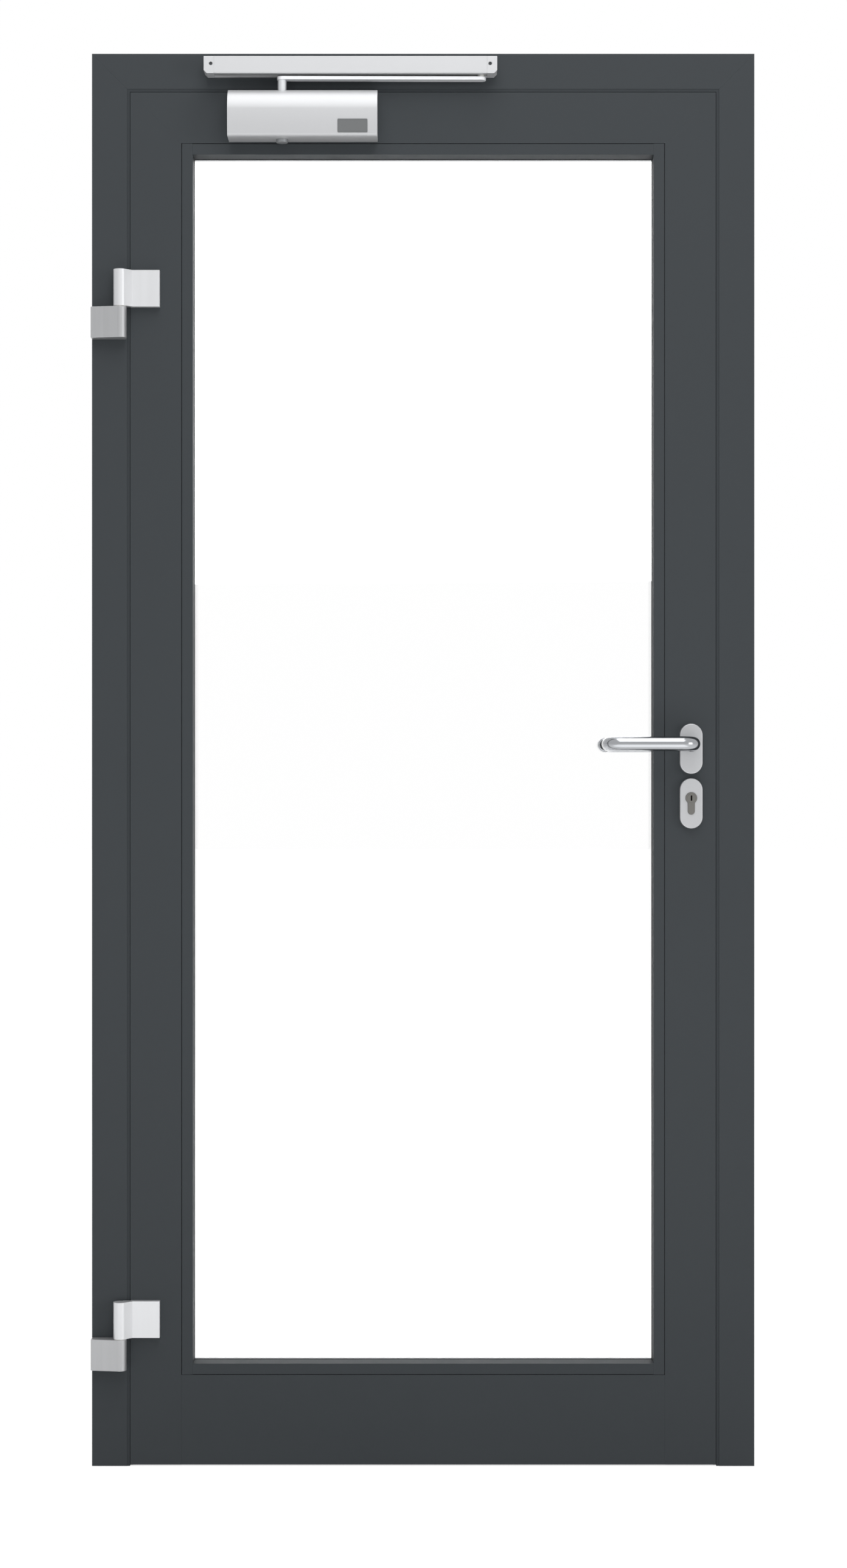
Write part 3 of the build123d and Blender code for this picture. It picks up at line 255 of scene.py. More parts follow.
class DOOR_OT_materials(bpy.types.Operator):
    """Makes the door's finishes and gives every CAD node its own"""

    bl_idname = "door.materials"
    bl_label = "Materials"

    def execute(self, context):
        colours = context.scene.door_colours

        # Polyester powder coat, melted on in an oven: matt, with the faint peel of the melted
        # powder. The peel, about 2 mm across, breaks up the sheen along edges.
        shader = grained("powder_coat", colours.paint, 0.05, 2.0, (0.5, 0.62), 0.006)
        shader.inputs["Specular IOR Level"].default_value = 0.15

        # Extruded aluminium as it leaves the die: pale metal with fine lines along its length
        shader = grained(
            "mill_aluminium", linear("#bcbec0"), 0.06, 1.0, (0.35, 0.5), 0.004, (1, 1, 0.05)
        )
        shader.inputs["Metallic"].default_value = 1.0

        # EPDM rubber, extruded: near black and matt, with a light bloom
        grained("epdm_rubber", colours.rubber, 0.15, 2.5, (0.62, 0.8), 0.01)

        # Thermoplastic elastomer, extruded in a grey near the paint: soft and matt
        shader = grained("grey_seal_rubber", colours.grey_seal, 0.08, 2.5, (0.6, 0.75), 0.01)
        shader.inputs["Specular IOR Level"].default_value = 0.15

        # Polypropylene, moulded: dark and slightly waxy
        grained("polypropylene", linear("#2b2d30"), 0.1, 3.0, (0.4, 0.5), 0.01)

        # Float glass: clear and flat. A metre-wide waviness of the float line bends reflections.
        shader = grained("float_glass", linear("#ffffff"), 0.004, 400.0, (0.0, 0.012), 0.02)
        shader.inputs["Transmission Weight"].default_value = 1.0
        shader.inputs["IOR"].default_value = 1.5

        # Aluminium, brushed up and down and anodised: pale, in soft upright bands 8 mm wide. The
        # halves on the jamb get a copy darkened to 0.62 with stronger bands: painted shade, for
        # their fronts turned away from the light on the right.
        for name, shade, spread in (
            ("anodised_aluminium", 1.0, 0.04),
            ("coarse_brushed_aluminium", 0.62, 0.14),
        ):
            tint = tone(colours.hinge, shade)
            shader = grained(name, tint, spread, 8.0, (0.34, 0.44), 0.002, (1, 1, 0.02))
            shader.inputs["Metallic"].default_value = 0.6

        # Acetal, machined: white and slightly waxy
        grained("acetal", linear("#dcdcd8"), 0.03, 2.0, (0.35, 0.45), 0.002)

        # Steel under bright zinc: grey metal, a little cloudy
        shader = grained("zinc_plated_steel", linear("#a9abad"), 0.12, 1.5, (0.26, 0.42), 0.002)
        shader.inputs["Metallic"].default_value = 1.0

        # Steel, dark grey: the rail's screws, which read as dark dots. The dark is painted shade
        # of their recessed seats.
        shader = grained("blackened_steel", linear("#505254"), 0.12, 1.5, (0.4, 0.55), 0.002)
        shader.inputs["Metallic"].default_value = 0.8

        # Steel, paler than the plated steel and nearly white against the leaf: painted light on
        # the closer's spindle, which stands in the shade of the rail and the arm.
        shader = grained("bright_steel", linear("#cdcfd1"), 0.05, 1.5, (0.3, 0.4), 0.001)
        shader.inputs["Metallic"].default_value = 0.6

        # Silver lacquer sprayed on plastic and aluminium: satin, its flakes drawn as specks of
        # 0.7 mm, coarser than real so that they show. Rail and arm are paler than the cover. The
        # copies are toned for their brightness under these lamps: the cover's darker as painted
        # shade of its front, which leans back from the light above, the arm's much paler as
        # painted light against the rail's shadow on it.
        for name, shade in (
            ("silver_lacquer", 0.89),
            ("pale_lacquer", 0.97),
            ("arm_lacquer", 1.42),
        ):
            tint = tone(colours.lacquer, shade)
            shader = grained(name, tint, 0.03, 0.7, (0.36, 0.46), 0.001)
            shader.inputs["Metallic"].default_value = 0.3
            shader.inputs["Coat Weight"].default_value = 0.15
            shader.inputs["Coat Roughness"].default_value = 0.25

        # Aluminium, die cast: dull grey, slightly uneven
        shader = grained("cast_aluminium", linear("#9c9ea0"), 0.1, 2.0, (0.5, 0.65), 0.03)
        shader.inputs["Metallic"].default_value = 0.9

        # A plate lacquered mid grey: satin and even
        grained("badge_lacquer", colours.badge, 0.03, 0.7, (0.4, 0.5), 0.001)

        # Stainless steel, polished: mirrors the room, with faint wipe marks along the grip
        shader = grained(
            "polished_steel", colours.lever, 0.03, 3.0, (0.13, 0.19), 0.0005, (0.2, 1, 1)
        )
        shader.inputs["Metallic"].default_value = 1.0

        # Stainless steel, bead blasted: even fine speckle, drawn at 0.9 mm so that it shows
        shader = grained("satin_steel", colours.rosette, 0.1, 0.9, (0.4, 0.52), 0.004)
        shader.inputs["Metallic"].default_value = 0.8

        # Brass under matt nickel: warm grey metal, darkened as painted shade of the cylinder's
        # recess in the rosette.
        shader = grained("nickel_plate", colours.cylinder, 0.06, 1.0, (0.3, 0.42), 0.002)
        shader.inputs["Metallic"].default_value = 1.0

        for node in NODES.values():
            for slot in node.material_slots:
                slot.material = FINISHES[SLOT_FINISH[SLOT_OF[node.name]]]
        return {"FINISHED"}


# ---------------------------------------------------------------- modelling steps
def clear_selection():
    """Leaves edit mode and deselects everything."""
    if bpy.context.object and bpy.context.object.mode != "OBJECT":
        bpy.ops.object.mode_set(mode="OBJECT")
    bpy.ops.object.select_all(action="DESELECT")


def edit(piece):
    """Opens one piece for editing with nothing in it selected."""
    clear_selection()
    piece.select_set(True)
    bpy.context.view_layer.objects.active = piece
    bpy.ops.object.mode_set(mode="EDIT")
    bpy.ops.mesh.select_all(action="DESELECT")


def placed(name):
    """Names the new primitive and puts its place and turn into its mesh."""
    bpy.ops.object.transform_apply(location=True, rotation=True, scale=True)
    piece = bpy.context.object
    piece.name = name
    return piece


def block(name, x, y, z):
    """Starts a piece from a cube between the low and high values, in millimetres."""
    clear_selection()
    bpy.ops.mesh.primitive_cube_add(
        size=MM,
        location=[(low + high) / 2 * MM for low, high in (x, y, z)],
        scale=[high - low for low, high in (x, y, z)],
    )
    return placed(name)


def rod(name, axis, middle, ends, radius, sides=48):
    """Starts a piece from a cylinder along an axis. middle is its place on the other two axes."""
    clear_selection()
    centre = list(middle)
    centre.insert("XYZ".index(axis), (ends[0] + ends[1]) / 2)
    quarter = math.pi / 2
    bpy.ops.mesh.primitive_cylinder_add(
        vertices=sides,
        radius=radius * MM,
        depth=(ends[1] - ends[0]) * MM,
        location=[c * MM for c in centre],
        rotation={"X": (0, quarter, 0), "Y": (quarter, 0, 0), "Z": (0, 0, 0)}[axis],
    )
    return placed(name)


def pick(piece, kind, test):
    """Selects the faces or edges for which test holds.

    test gets a face's middle in millimetres and its normal, or an edge's middle in millimetres and
    its direction without signs.
    """
    edit(piece)
    bpy.ops.mesh.select_mode(type=kind)
    mesh = bmesh.from_edit_mesh(piece.data)
    mesh.normal_update()
    found = 0
    if kind == "FACE":
        for face in mesh.faces:
            if test(face.calc_center_median() / MM, face.normal):
                face.select_set(True)
                found += 1
    else:
        for edge in mesh.edges:
            ends = [vert.co for vert in edge.verts]
            way = (ends[1] - ends[0]).normalized()
            if test((ends[0] + ends[1]) / (2 * MM), Vector([abs(w) for w in way])):
                edge.select_set(True)
                found += 1
    if not found:
        raise RuntimeError(f"{piece.name}: no {kind.lower()} found to work on")
    bmesh.update_edit_mesh(piece.data)


def push(x=0.0, y=0.0, z=0.0):
    """Extrudes what is selected, by millimetres."""
    bpy.ops.mesh.extrude_region_move(TRANSFORM_OT_translate={"value": (x * MM, y * MM, z * MM)})


def round_off(radius, segments):
    """Bevels the selected edges."""
    bpy.ops.mesh.bevel(
        offset=radius * MM, offset_type="OFFSET", segments=segments, profile=0.5, affect="EDGES"
    )


def cut(piece, point, normal, drop=False):
    """Cuts a piece at a plane. drop removes the side the normal points to and closes the cut."""
    edit(piece)
    bpy.ops.mesh.select_all(action="SELECT")
    bpy.ops.mesh.bisect(
        plane_co=[p * MM for p in point],
        plane_no=Vector(normal).normalized(),
        use_fill=drop,
        clear_outer=drop,
    )


def combine(piece, other, way):
    """Joins another shape to a piece, or takes it away, and removes that other shape."""
    clear_selection()
    bpy.context.view_layer.objects.active = piece
    piece.select_set(True)
    step = piece.modifiers.new("combine", "BOOLEAN")
    step.operation = way
    step.object = other
    step.solver = "EXACT"
    bpy.ops.object.modifier_apply(modifier=step.name)
    bpy.data.objects.remove(other)


def ease(piece, width, segments=3, angle=40):
    """Rounds a piece's sharp edges. width is in metres, as the edge settings give it."""
    clear_selection()
    bpy.context.view_layer.objects.active = piece
    piece.select_set(True)
    step = piece.modifiers.new("ease", "BEVEL")
    step.width = width
    step.segments = segments
    step.limit_method = "ANGLE"
    step.angle_limit = math.radians(angle)
    bpy.ops.object.modifier_apply(modifier=step.name)


def tidy_mesh(piece):
    """Merges doubled points and turns every face outwards."""
    edit(piece)
    bpy.ops.mesh.select_all(action="SELECT")
    bpy.ops.mesh.remove_doubles(threshold=0.005 * MM)
    bpy.ops.mesh.normals_make_consistent(inside=False)
    bpy.ops.object.mode_set(mode="OBJECT")


def merge_flats(piece):
    """Makes one face of neighbours that lie in one plane."""
    edit(piece)
    bpy.ops.mesh.select_all(action="SELECT")
    bpy.ops.mesh.dissolve_limited(angle_limit=math.radians(0.5))
    bpy.ops.object.mode_set(mode="OBJECT")


def copy_of(piece, name, move=(0, 0, 0), flip=None):
    """A copy of a piece with its own mesh, first mirrored across X or Y, then moved by mm."""
    clear_selection()
    piece.select_set(True)
    bpy.context.view_layer.objects.active = piece
    bpy.ops.object.duplicate()
    twin = bpy.context.object
    twin.name = name
    edit(twin)
    bpy.ops.mesh.select_all(action="SELECT")
    if flip:
        bpy.ops.transform.resize(
            value=[-1 if axis == flip else 1 for axis in "XYZ"], center_override=(0, 0, 0)
        )
        bpy.ops.mesh.normals_make_consistent(inside=False)
    bpy.ops.transform.translate(value=[m * MM for m in move])
    bpy.ops.object.mode_set(mode="OBJECT")
    return twin


def node_copy(node, name, width, segments=2):
    """A piece with a CAD node's own shape: its triangles merged into faces and its edges eased."""
    clear_selection()
    NODES[node].select_set(True)
    bpy.context.view_layer.objects.active = NODES[node]
    bpy.ops.object.duplicate()
    piece = bpy.context.object
    piece.name = name
    piece.parent = None
    for key in list(piece.keys()):
        del piece[key]
    tidy_mesh(piece)
    merge_flats(piece)
    ease(piece, width, segments, 30)
    return piece


def hand_over(piece, node, smooth=35, finish=None):
    """Shades a finished piece, gives it the finish of its node's slot, hangs it under the node's
    body and hides the node.

    smooth is the angle in degrees below which an edge is shaded round, and finish takes the place
    of the slot's own finish.
    """
    clear_selection()
    bpy.context.view_layer.objects.active = piece
    piece.select_set(True)
    fill = piece.modifiers.new("fill", "TRIANGULATE")
    fill.min_vertices = 5
    fill.ngon_method = "BEAUTY"
    bpy.ops.object.modifier_apply(modifier=fill.name)
    bpy.ops.object.shade_smooth_by_angle(angle=math.radians(smooth))
    even = piece.modifiers.new("even", "WEIGHTED_NORMAL")
    even.keep_sharp = True
    bpy.ops.object.modifier_apply(modifier=even.name)
    slot = SLOT_OF[node]
    piece.data.materials.clear()
    piece.data.materials.append(FINISHES[finish or SLOT_FINISH[slot]])
    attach(piece, BODY_OF[node])
    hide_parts(node)


# ---------------------------------------------------------------- the door's parts
class DOOR_OT_profiles(bpy.types.Operator):
    """Builds the painted bars of the frame and the leaf, with their chambers and lock pockets"""

    bl_idname = "door.profiles"
    bl_label = "Painted profiles"

    joint: length("Bead joint", "Visible gap between the side beads' ends and the rails", 0.5)

    def execute(self, context):
        for node, slot in SLOT_OF.items():
            if slot == "frame_paint":
                piece = node_copy(node, node + "_bar", context.scene.door_edges.profile)
                if node in ("bead_left", "bead_right"):
                    heights = [vert.co.z / MM for vert in piece.data.vertices]
                    joint = self.joint / MM
                    cut(piece, (0, 0, max(heights) - joint), (0, 0, 1), drop=True)
                    cut(piece, (0, 0, min(heights) + joint), (0, 0, -1), drop=True)
                hand_over(piece, node)
        return {"FINISHED"}


class DOOR_OT_seals(bpy.types.Operator):
    """Builds the seals in the gap, under the leaf and round the glass"""

    bl_idname = "door.seals"
    bl_label = "Seals"

    def execute(self, context):
        edge = context.scene.door_edges.seal
        for node, slot in SLOT_OF.items():
            if slot in ("seal_rubber", "seal_grey"):
                hand_over(node_copy(node, node + "_strip", edge, 3), node)
        return {"FINISHED"}


class DOOR_OT_panes(bpy.types.Operator):
    """Builds the two glass panes with their ground edges"""

    bl_idname = "door.panes"
    bl_label = "Glass panes"

    def execute(self, context):
        edge = context.scene.door_edges.pane
        for node in ("glass_pane_front", "glass_pane_back"):
            hand_over(node_copy(node, node + "_sheet", edge, 1), node, smooth=20)
        return {"FINISHED"}


class DOOR_OT_hinges(bpy.types.Operator):
    """Builds the cast hinge halves: a round knuckle that runs out into a wing"""

    bl_idname = "door.hinges"
    bl_label = "Hinges"

    wing_end: length("Wing end", "Free edge of the leaf wing along X", -393, -420, -380)

    def leaf_half(self, low, high):
        """The upper half, whose wing lies on the leaf and meets the knuckle at a tangent."""
        x, y = KNUCKLE
        reach = KNUCKLE_RADIUS / math.sqrt(2)
        wing_front = 4  # the wing's front lies this far behind the knuckle's axis
        slope_end = x + 2 * reach + wing_front
        wing = block("leaf_half", (x + 3, slope_end), (y - reach, FACE), (low, high))
        cut(wing, (x + reach, y - reach, low), (1, -1, 0), drop=True)
        pick(wing, "FACE", lambda middle, normal: normal.x > 0.9)
        push(x=self.wing_end / MM - slope_end)
        # From the leaf's edge to the knuckle the wing's back stands clear of the frame
        relief = block("relief", (x - 12, x + 15), (FACE - 3.5, FACE + 3), (low - 1, high + 1))
        combine(wing, relief, "DIFFERENCE")
        return wing

    def frame_half(self, low, high):
        """The lower half, whose wing lies on the jamb."""
        x, y = KNUCKLE
        wing = block("frame_half", (-HALF_WIDTH, x + KNUCKLE_RADIUS), (y, FACE), (low, high))
        cut(wing, (x, y, low), (1, 0, 0))
        pick(wing, "FACE", lambda middle, normal: normal.y < -0.9 and middle.x < x)
        push(y=-KNUCKLE_RADIUS)
        # The front falls by 7 mm towards the jamb's outer edge, the side by the leaf by 2 mm
        # towards the face
        cut(wing, (x, y - KNUCKLE_RADIUS, low), (-7, -(x + HALF_WIDTH), 0), drop=True)
        cut(wing, (x + KNUCKLE_RADIUS, y, low), (FACE - y, 2, 0), drop=True)
        return wing

    def execute(self, context):
        edge = context.scene.door_edges.hinge
        # The jamb halves take the darker copy of the anodised finish: painted shade.
        pale, dark = "anodised_aluminium", "coarse_brushed_aluminium"
        # Each half's ends and its bore's ends are given from the joint between the halves
        for half, body, heights, bore, bored, finish in (
            ("leaf", self.leaf_half, (0.5, 55.0), 7.0, (-1.0, 51.0), pale),
            ("frame", self.frame_half, (-47.0, -0.5), 5.0, (-43.0, 1.0), dark),
        ):
            first = None
            for place, split in zip(("lower", "upper"), SPLITS):
                name = f"hinge_{place}_{half}_casting"
                if first is None:
                    # Wing and knuckle are joined overlong, then both are cut to length at once
                    low, high = (split + h for h in heights)
                    piece = body(low - 1, high + 1)
                    piece.name = name
                    knuckle = rod("knuckle", "Z", KNUCKLE, (low - 2, high + 2), KNUCKLE_RADIUS, 64)
                    combine(piece, knuckle, "UNION")
                    tidy_mesh(piece)
                    cut(piece, (0, 0, high), (0, 0, 1), drop=True)
                    cut(piece, (0, 0, low), (0, 0, -1), drop=True)
                    ends = [split + h for h in bored]
                    combine(piece, rod("bore", "Z", KNUCKLE, ends, bore, 48), "DIFFERENCE")
                    tidy_mesh(piece)
                    merge_flats(piece)
                    ease(piece, edge, 3, 25)
                    first = piece
                else:
                    piece = copy_of(first, name, (0, 0, SPLITS[1] - SPLITS[0]))
                hand_over(piece, f"hinge_{place}_{half}_half", 30, finish)
        return {"FINISHED"}


class DOOR_OT_closer(bpy.types.Operator):
    """Builds the closer's moulded cover with its crowned front, and the blank badge"""

    bl_idname = "door.closer"
    bl_label = "Closer cover and badge"

    draft: length("Draft", "How far the cover's front curves back to its lower edge", 2.6)

    def execute(self, context):
        cover = block("closer_cover_shell", COVER_X, COVER_Y, COVER_Z)
        front, bottom, top = COVER_Y[0], *COVER_Z

        def pick_front_line(z):
            """Selects the line that runs along the cover's front at a height."""
            pick(
                cover,
                "EDGE",
                lambda middle, way: way.x > 0.9
                and middle.y < front + 1
                and abs(middle.z - z) < 0.1,
            )

        pick_front_line(top)
        round_off(CROWN, 20)
        # Below the crown the front is cut into bands, each moved back further than the last
        bands = 5
        band = (top - CROWN - bottom) / bands
        for step in range(1, bands):
            cut(cover, (0, 0, bottom + band * step), (0, 0, 1))
        for step in range(1, bands + 1):
            pick_front_line(bottom + band * (bands - step))
            bpy.ops.transform.translate(value=(0, self.draft * (step / bands) ** 2, 0))
        round_off(4, 8)
        pick(cover, "FACE", lambda middle, normal: normal.y > 0.9)
        bpy.ops.mesh.delete(type="FACE")
        bpy.ops.object.mode_set(mode="OBJECT")
        wall = cover.modifiers.new("wall", "SOLIDIFY")
        wall.thickness = COVER_WALL * MM
        wall.offset = -1
        bpy.ops.object.modifier_apply(modifier=wall.name)
        hole = rod("spindle_hole", "Z", SPINDLE, (bottom - 5, top + 5), SPINDLE_HOLE, 64)
        combine(cover, hole, "DIFFERENCE")
        tidy_mesh(cover)
        ease(cover, context.scene.door_edges.cover, 3, 40)
        hand_over(cover, "closer_cover", 30)

        # The badge stands 0.8 mm proud of the cover's front and leans back with it. The front has
        # come back by 0.15 of the draft at the badge's top, and by 0.635 more at its foot.
        proud = front + 0.15 * self.draft / MM - 0.8
        badge = block("closer_badge_plate", BADGE_X, (proud, proud + 1.8), BADGE_Z)
        pick(badge, "FACE", lambda middle, normal: normal.z < -0.9)
        bpy.ops.transform.translate(value=(0, 0.635 * self.draft, 0))
        pick(badge, "EDGE", lambda middle, way: way.y > 0.9)
        round_off(1.6, 4)
        pick(badge, "FACE", lambda middle, normal: normal.y < -0.9)
        bpy.ops.mesh.inset(thickness=1.0 * MM)
        push(y=0.2)
        hand_over(badge, "closer_badge", 25)
        return {"FINISHED"}


class DOOR_OT_arm(bpy.types.Operator):
    """Builds the closer's arm and the spindle that turns it"""

    bl_idname = "door.arm"
    bl_label = "Arm and spindle"

    width: length("Width", "Width of the arm", 15, 10, 17)

    def execute(self, context):
        run = Vector(ARM_END) - Vector(SPINDLE)
        half = self.width / MM / 2
        arm = block("closer_arm_bar", (-half, run.length + half), (-half, half), ARM_Z)
        pick(arm, "EDGE", lambda middle, way: way.z > 0.9)
        round_off(half, 12)
        tidy_mesh(arm)
        square = (-4, 4)  # half of the spindle's 8 mm square, either way
        hole = block("square", square, square, (ARM_Z[0] - 1, ARM_Z[1] + 1))
        combine(arm, hole, "DIFFERENCE")
        tidy_mesh(arm)
        ease(arm, context.scene.door_edges.rail, 3, 40)
        edit(arm)
        bpy.ops.mesh.select_all(action="SELECT")
        bpy.ops.transform.rotate(
            value=-math.atan2(run.y, run.x), orient_axis="Z", center_override=(0, 0, 0)
        )
        bpy.ops.transform.translate(value=[*(s * MM for s in SPINDLE), 0])
        # The arm takes the paler lacquer: painted light against the rail's shadow on it.
        hand_over(arm, "closer_arm", finish="arm_lacquer")
        spindle = node_copy("closer_spindle", "closer_spindle_post", 0.4 * MM, 3)
        # The spindle takes the paler steel: painted light against the shade of the rail above it.
        hand_over(spindle, "closer_spindle", finish="bright_steel")
        return {"FINISHED"}


class DOOR_OT_rail(bpy.types.Operator):
    """Builds the guide rail, its two end caps and their screws"""

    bl_idname = "door.rail"
    bl_label = "Guide rail"

    def execute(self, context):
        edge = context.scene.door_edges.rail
        middle_y = ARM_END[1]
        ends = (RAIL_X[0] + CAP_LENGTH, RAIL_X[1] - CAP_LENGTH)
        past = (ends[0] - 5, ends[1] + 5)
        rail = block("closer_rail_channel", ends, RAIL_Y, RAIL_Z)
        front, bottom = RAIL_Y[0], RAIL_Z[0]
        pick(
            rail,
            "EDGE",
            lambda middle, way: way.x > 0.9 and middle.y < front + 1 and middle.z < bottom + 1,
        )
        round_off(2.0, 5)
        inside_y = (front + RAIL_WALL, RAIL_Y[1] - RAIL_WALL)
        inside_z = (bottom + RAIL_WALL, RAIL_Z[1] - RAIL_WALL)
        combine(rail, block("inside", past, inside_y, inside_z), "DIFFERENCE")
        slot_y = (middle_y - 5.6, middle_y + 5.6)
        slot_z = (bottom - 1, inside_z[0] + 1)
        combine(rail, block("slot", past, slot_y, slot_z), "DIFFERENCE")
        tidy_mesh(rail)
        ease(rail, edge, 3, 40)
        hand_over(rail, "closer_rail", finish="pale_lacquer")

        screw_in, screw_up = 10.5, 14.5  # from the rail's end and from its underside
        screw_place = (RAIL_X[0] + screw_in, bottom + screw_up)
        cap = block("rail_cap_left_block", (RAIL_X[0], ends[0]), RAIL_Y, RAIL_Z)
        pick(
            cap,
            "EDGE",
            lambda middle, way: way.y > 0.9 and middle.x < RAIL_X[0] + 1 and middle.z < bottom + 1,
        )
        round_off(4.5, 1)
        seat = rod("seat", "Y", screw_place, (front - 1, front + 3), 2.6, 32)
        combine(cap, seat, "DIFFERENCE")
        tidy_mesh(cap)
        ease(cap, edge, 3, 40)
        twin = copy_of(cap, "rail_cap_right_block", (sum(RAIL_X), 0, 0), "X")
        hand_over(cap, "rail_cap_left", finish="pale_lacquer")
        hand_over(twin, "rail_cap_right", finish="pale_lacquer")

        screw = rod("rail_screw_set", "Y", screw_place, (front + 1.2, front + 3), 2.4, 32)
        pick(screw, "FACE", lambda middle, normal: normal.y > 0.9)
        bpy.ops.mesh.inset(thickness=0.3 * MM)
        push(y=FACE - front + 2)
        socket = rod("socket", "Y", screw_place, (front - 1, front + 2.6), 1.6, 6)
        combine(screw, socket, "DIFFERENCE")
        tidy_mesh(screw)
        ease(screw, 0.15 * MM, 2, 40)
        other = copy_of(screw, "other_screw", (RAIL_X[1] - RAIL_X[0] - 2 * screw_in, 0, 0))
        clear_selection()
        other.select_set(True)
        screw.select_set(True)
        bpy.context.view_layer.objects.active = screw
        bpy.ops.object.join()
        # The screws take the dark grey steel: painted shade of their seats.
        hand_over(screw, "rail_screws", finish="blackened_steel")
        return {"FINISHED"}


class DOOR_OT_levers(bpy.types.Operator):
    """Builds the two tube levers, returned towards the leaf"""

    bl_idname = "door.levers"
    bl_label = "Levers"

    radius: length("Tube radius", "Outer radius of the lever's tube", 11, 8, 11)
    reach: length("Reach", "From the neck's middle to the returned end's middle", 123, 90, 140)
    bend: length("Bend", "Radius of the bends, to the middle of the tube", 18, 12, 24)

    def execute(self, context):
        # Places along Y: the neck's foot, the middle of the grip, and the returned end
        foot, grip, end = -33.0, -81.5, -41.5
        bend, reach, radius = self.bend / MM, self.reach / MM, self.radius / MM
        turn_y = grip + bend
        lever = rod("lever_front_tube", "Y", (LEVER_X, LEVER_Z), (turn_y, foot), radius, 64)
        pick(lever, "FACE", lambda middle, normal: normal.y < -0.9)
        # Two quarter bends: where each turns, and the straight run along X and Y after it
        for turn_x, run in (
            (LEVER_X - bend, (2 * bend - reach, 0)),
            (LEVER_X - reach + bend, (0, end - turn_y)),
        ):
            bpy.ops.mesh.spin(
                steps=20,
                angle=math.pi / 2,
                center=(turn_x * MM, turn_y * MM, LEVER_Z * MM),
                axis=(0, 0, 1),
            )
            push(*run)
        tidy_mesh(lever)
        pick(
            lever,
            "EDGE",
            lambda middle, way: way.y < 0.01 and middle.y > end - 0.1 and middle.x < LEVER_X - 60,
        )
        round_off(2.5, 5)
        bpy.ops.object.mode_set(mode="OBJECT")
        twin = copy_of(lever, "lever_back_tube", flip="Y")
        hand_over(lever, "lever_front")
        hand_over(twin, "lever_back")
        return {"FINISHED"}


class DOOR_OT_rosettes(bpy.types.Operator):
    """Builds the rosettes, the lock cylinder and the plates and bolts of the lock"""

    bl_idname = "door.rosettes"
    bl_label = "Rosettes and lock"

    def keyhole(self):
        """The outline of the cylinder, right through the door, as a shape to take away."""
        head, half_foot, toe_z = 8.7, 5.2, PLUG_Z - 19.5
        through = (-50, 50)
        shape = rod("keyhole", "Y", (LEVER_X, PLUG_Z), through, head, 48)
        foot_x = (LEVER_X - half_foot, LEVER_X + half_foot)
        combine(shape, block("foot", foot_x, through, (toe_z, PLUG_Z)), "UNION")
        combine(shape, rod("toe", "Y", (LEVER_X, toe_z), through, half_foot, 48), "UNION")
        return shape

    def execute(self, context):
        edges = context.scene.door_edges
        half_width, half_height = ROSETTE_HALF
        front = FACE - ROSETTE_THICK
        # Each rosette's middle lies a little below the lever or the plug that it frames
        for kind, middle_z in (("handle", LEVER_Z - 7), ("cylinder", PLUG_Z - 8)):
            plate = block(
                f"rosette_{kind}_front_plate",
                (LEVER_X - half_width, LEVER_X + half_width),
                (front, FACE),
                (middle_z - half_height, middle_z + half_height),
            )
            pick(plate, "EDGE", lambda middle, way: way.y > 0.9)
            round_off(half_width, 24)
            tidy_mesh(plate)
            # The back is hollow, within a rim of 2 mm
            pick(plate, "FACE", lambda middle, normal: normal.y > 0.9)
            bpy.ops.mesh.inset(thickness=2 * MM)
            push(y=-6.8)
            pick(plate, "EDGE", lambda middle, way: way.y < 0.01 and middle.y < front + 0.1)
            round_off(edges.rosette / MM, 5)
            bpy.ops.object.mode_set(mode="OBJECT")
            if kind == "handle":
                ends = (FACE - 20, FACE + 5)
                hole = rod("neck_hole", "Y", (LEVER_X, LEVER_Z), ends, 11.3, 64)
            else:
                hole = self.keyhole()
            combine(plate, hole, "DIFFERENCE")
            tidy_mesh(plate)
            ease(plate, edges.fitting, 2, 50)
            twin = copy_of(plate, f"rosette_{kind}_back_plate", flip="Y")
            hand_over(plate, f"rosette_{kind}_front")
            hand_over(twin, f"rosette_{kind}_back")
        for node in (
            "lock_cylinder",
            "cylinder_plugs",
            "lock_forend",
            "strike_plate",
            "latch_bolt",
            "deadbolt",
        ):
            hand_over(node_copy(node, node + "_fitting", edges.fitting), node)
        return {"FINISHED"}


# ---------------------------------------------------------------- floor, light and camera
def backdrop_rays(tree):
    """1 for rays that show the white backdrop: seen straight, in a reflection or through glass."""
    path = add_node(tree, "ShaderNodeLightPath")
    total = path.outputs["Is Camera Ray"]
    for kind in ("Is Glossy Ray", "Is Transmission Ray"):
        added = add_node(
            tree,
            "ShaderNodeMath",
            {"operation": "ADD", "use_clamp": True},
            {0: total, 1: path.outputs[kind]},
        )
        total = added.outputs["Value"]
    return total


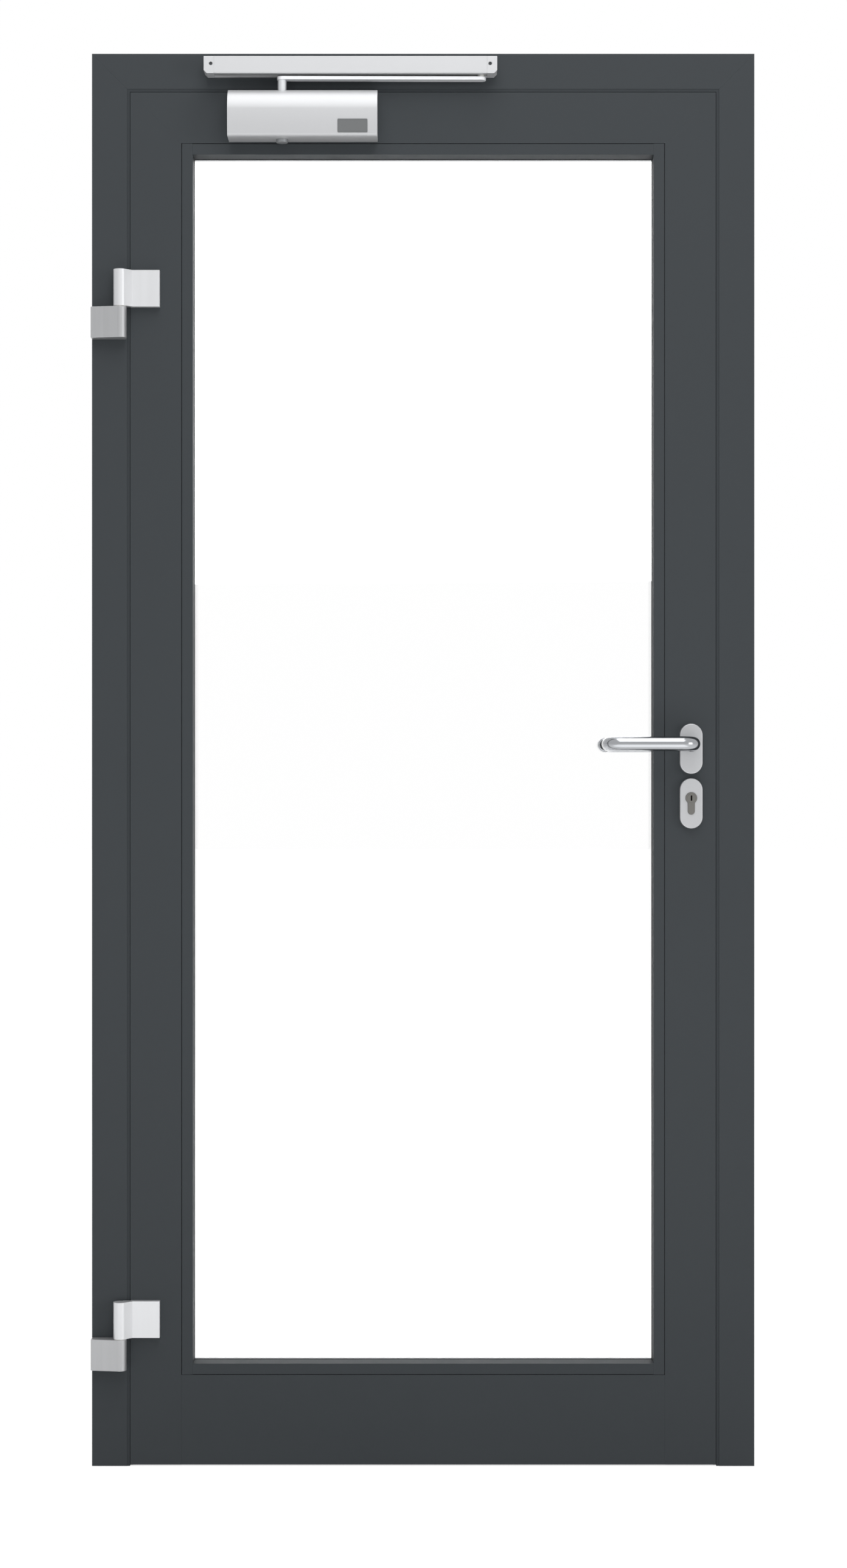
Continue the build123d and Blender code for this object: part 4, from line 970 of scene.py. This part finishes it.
class DOOR_OT_stage(bpy.types.Operator):
    """Adds the floor, the light and the camera"""

    bl_idname = "door.stage"
    bl_label = "Stage"

    ambient: bpy.props.FloatProperty(
        name="Ambient light",
        description="Strength of the even light from all sides",
        default=0.45,
        min=0.0,
        max=1.0,
    )

    def execute(self, context):
        scene = context.scene
        clear_selection()
        bpy.ops.mesh.primitive_plane_add(size=80, location=(0, 0, -0.0005))
        floor = placed("floor")
        # Matt paper: pale, and lifted to white where it is looked at, so that only shadows show
        paper = bpy.data.materials.new("matt_paper")
        paper.use_nodes = True
        tree = paper.node_tree
        tree.nodes.clear()
        matt = add_node(tree, "ShaderNodeBsdfDiffuse", inputs={"Color": linear("#e4e4e4")})
        lift = add_node(
            tree,
            "ShaderNodeMath",
            {"operation": "MULTIPLY"},
            {0: backdrop_rays(tree), 1: 0.75},
        )
        glow = add_node(
            tree,
            "ShaderNodeEmission",
            inputs={"Color": (1, 1, 1, 1), "Strength": lift.outputs["Value"]},
        )
        both = add_node(
            tree,
            "ShaderNodeAddShader",
            inputs={0: matt.outputs["BSDF"], 1: glow.outputs["Emission"]},
        )
        add_node(tree, "ShaderNodeOutputMaterial", inputs={"Surface": both.outputs["Shader"]})
        floor.data.materials.append(paper)

        scene.world = bpy.data.worlds.new("studio")
        scene.world.use_nodes = True
        tree = scene.world.node_tree
        tree.nodes.clear()
        white = (1, 1, 1, 1)
        ambient = add_node(
            tree, "ShaderNodeBackground", inputs={"Color": white, "Strength": self.ambient}
        )
        backdrop = add_node(tree, "ShaderNodeBackground", inputs={"Color": white, "Strength": 1.0})
        mixed = add_node(
            tree,
            "ShaderNodeMixShader",
            inputs={
                0: backdrop_rays(tree),
                1: ambient.outputs["Background"],
                2: backdrop.outputs["Background"],
            },
        )
        add_node(tree, "ShaderNodeOutputWorld", inputs={"Surface": mixed.outputs["Shader"]})

        # Soft square lamps: the place, the point faced and the side in metres, and the watts
        for name, place, target, size, power in (
            ("right", (7.0, -4.5, 1.6), (0, 0, 1.1), 3.0, 120),
            ("high", (0.3, -2.8, 3.6), (0.3, -2.4, 0), 2.6, 43),
            ("above", (0.0, -0.9, 4.6), (0, -0.1, 1.6), 2.4, 44),
            ("low", (0.0, -2.2, 0.05), (0, -2.2, 1.0), 2.8, 20),
            ("behind", (0.4, 4.0, 3.0), (0, 0, 1.0), 3.0, 60),
        ):
            bpy.ops.object.light_add(type="AREA", location=place)
            lamp = context.object
            lamp.name = "softbox_" + name
            lamp.data.shape = "SQUARE"
            lamp.data.size = size
            lamp.data.energy = power
            towards = Vector(target) - Vector(place)
            lamp.rotation_euler = towards.to_track_quat("-Z", "Y").to_euler()

        # As the photo was taken: level, straight in front and a little below the door's middle.
        # The sensor's width counts along the picture's longer side, its height.
        bpy.ops.object.camera_add(
            location=(0.0005, -4.2625, 1.019), rotation=(math.radians(90), 0, 0)
        )
        camera = context.object
        camera.name = "photo_camera"
        camera.data.sensor_width = 36.0
        camera.data.lens = 65.0
        scene.camera = camera
        scene.view_settings.view_transform = "Standard"
        return {"FINISHED"}


STEPS = (
    DOOR_OT_materials,
    DOOR_OT_profiles,
    DOOR_OT_seals,
    DOOR_OT_panes,
    DOOR_OT_hinges,
    DOOR_OT_closer,
    DOOR_OT_arm,
    DOOR_OT_rail,
    DOOR_OT_levers,
    DOOR_OT_rosettes,
    DOOR_OT_stage,
)


class DOOR_PT_panel(bpy.types.Panel):
    """The door's colours, edge sizes and building steps"""

    bl_idname = "DOOR_PT_panel"
    bl_label = "Glazed door"
    bl_space_type = "VIEW_3D"
    bl_region_type = "UI"
    bl_category = "Door"

    def draw(self, context):
        for group in (context.scene.door_colours, context.scene.door_edges):
            column = self.layout.column(align=True)
            for name in type(group).__annotations__:
                column.prop(group, name)
        for step in STEPS:
            self.layout.operator(step.bl_idname)


CLASSES = (DOOR_PG_colours, DOOR_PG_edges, *STEPS, DOOR_PT_panel)


def register():
    """Registers the classes and gives each scene its door settings."""
    for cls in CLASSES:
        bpy.utils.register_class(cls)
    bpy.types.Scene.door_colours = bpy.props.PointerProperty(type=DOOR_PG_colours)
    bpy.types.Scene.door_edges = bpy.props.PointerProperty(type=DOOR_PG_edges)


def unregister():
    """Takes the settings and the classes away again."""
    del bpy.types.Scene.door_edges
    del bpy.types.Scene.door_colours
    for cls in reversed(CLASSES):
        bpy.utils.unregister_class(cls)


def main():
    """Builds the door step by step."""
    register()
    for step in STEPS:
        getattr(bpy.ops.door, step.bl_idname.split(".")[1])()


if __name__ == "__main__":
    main()
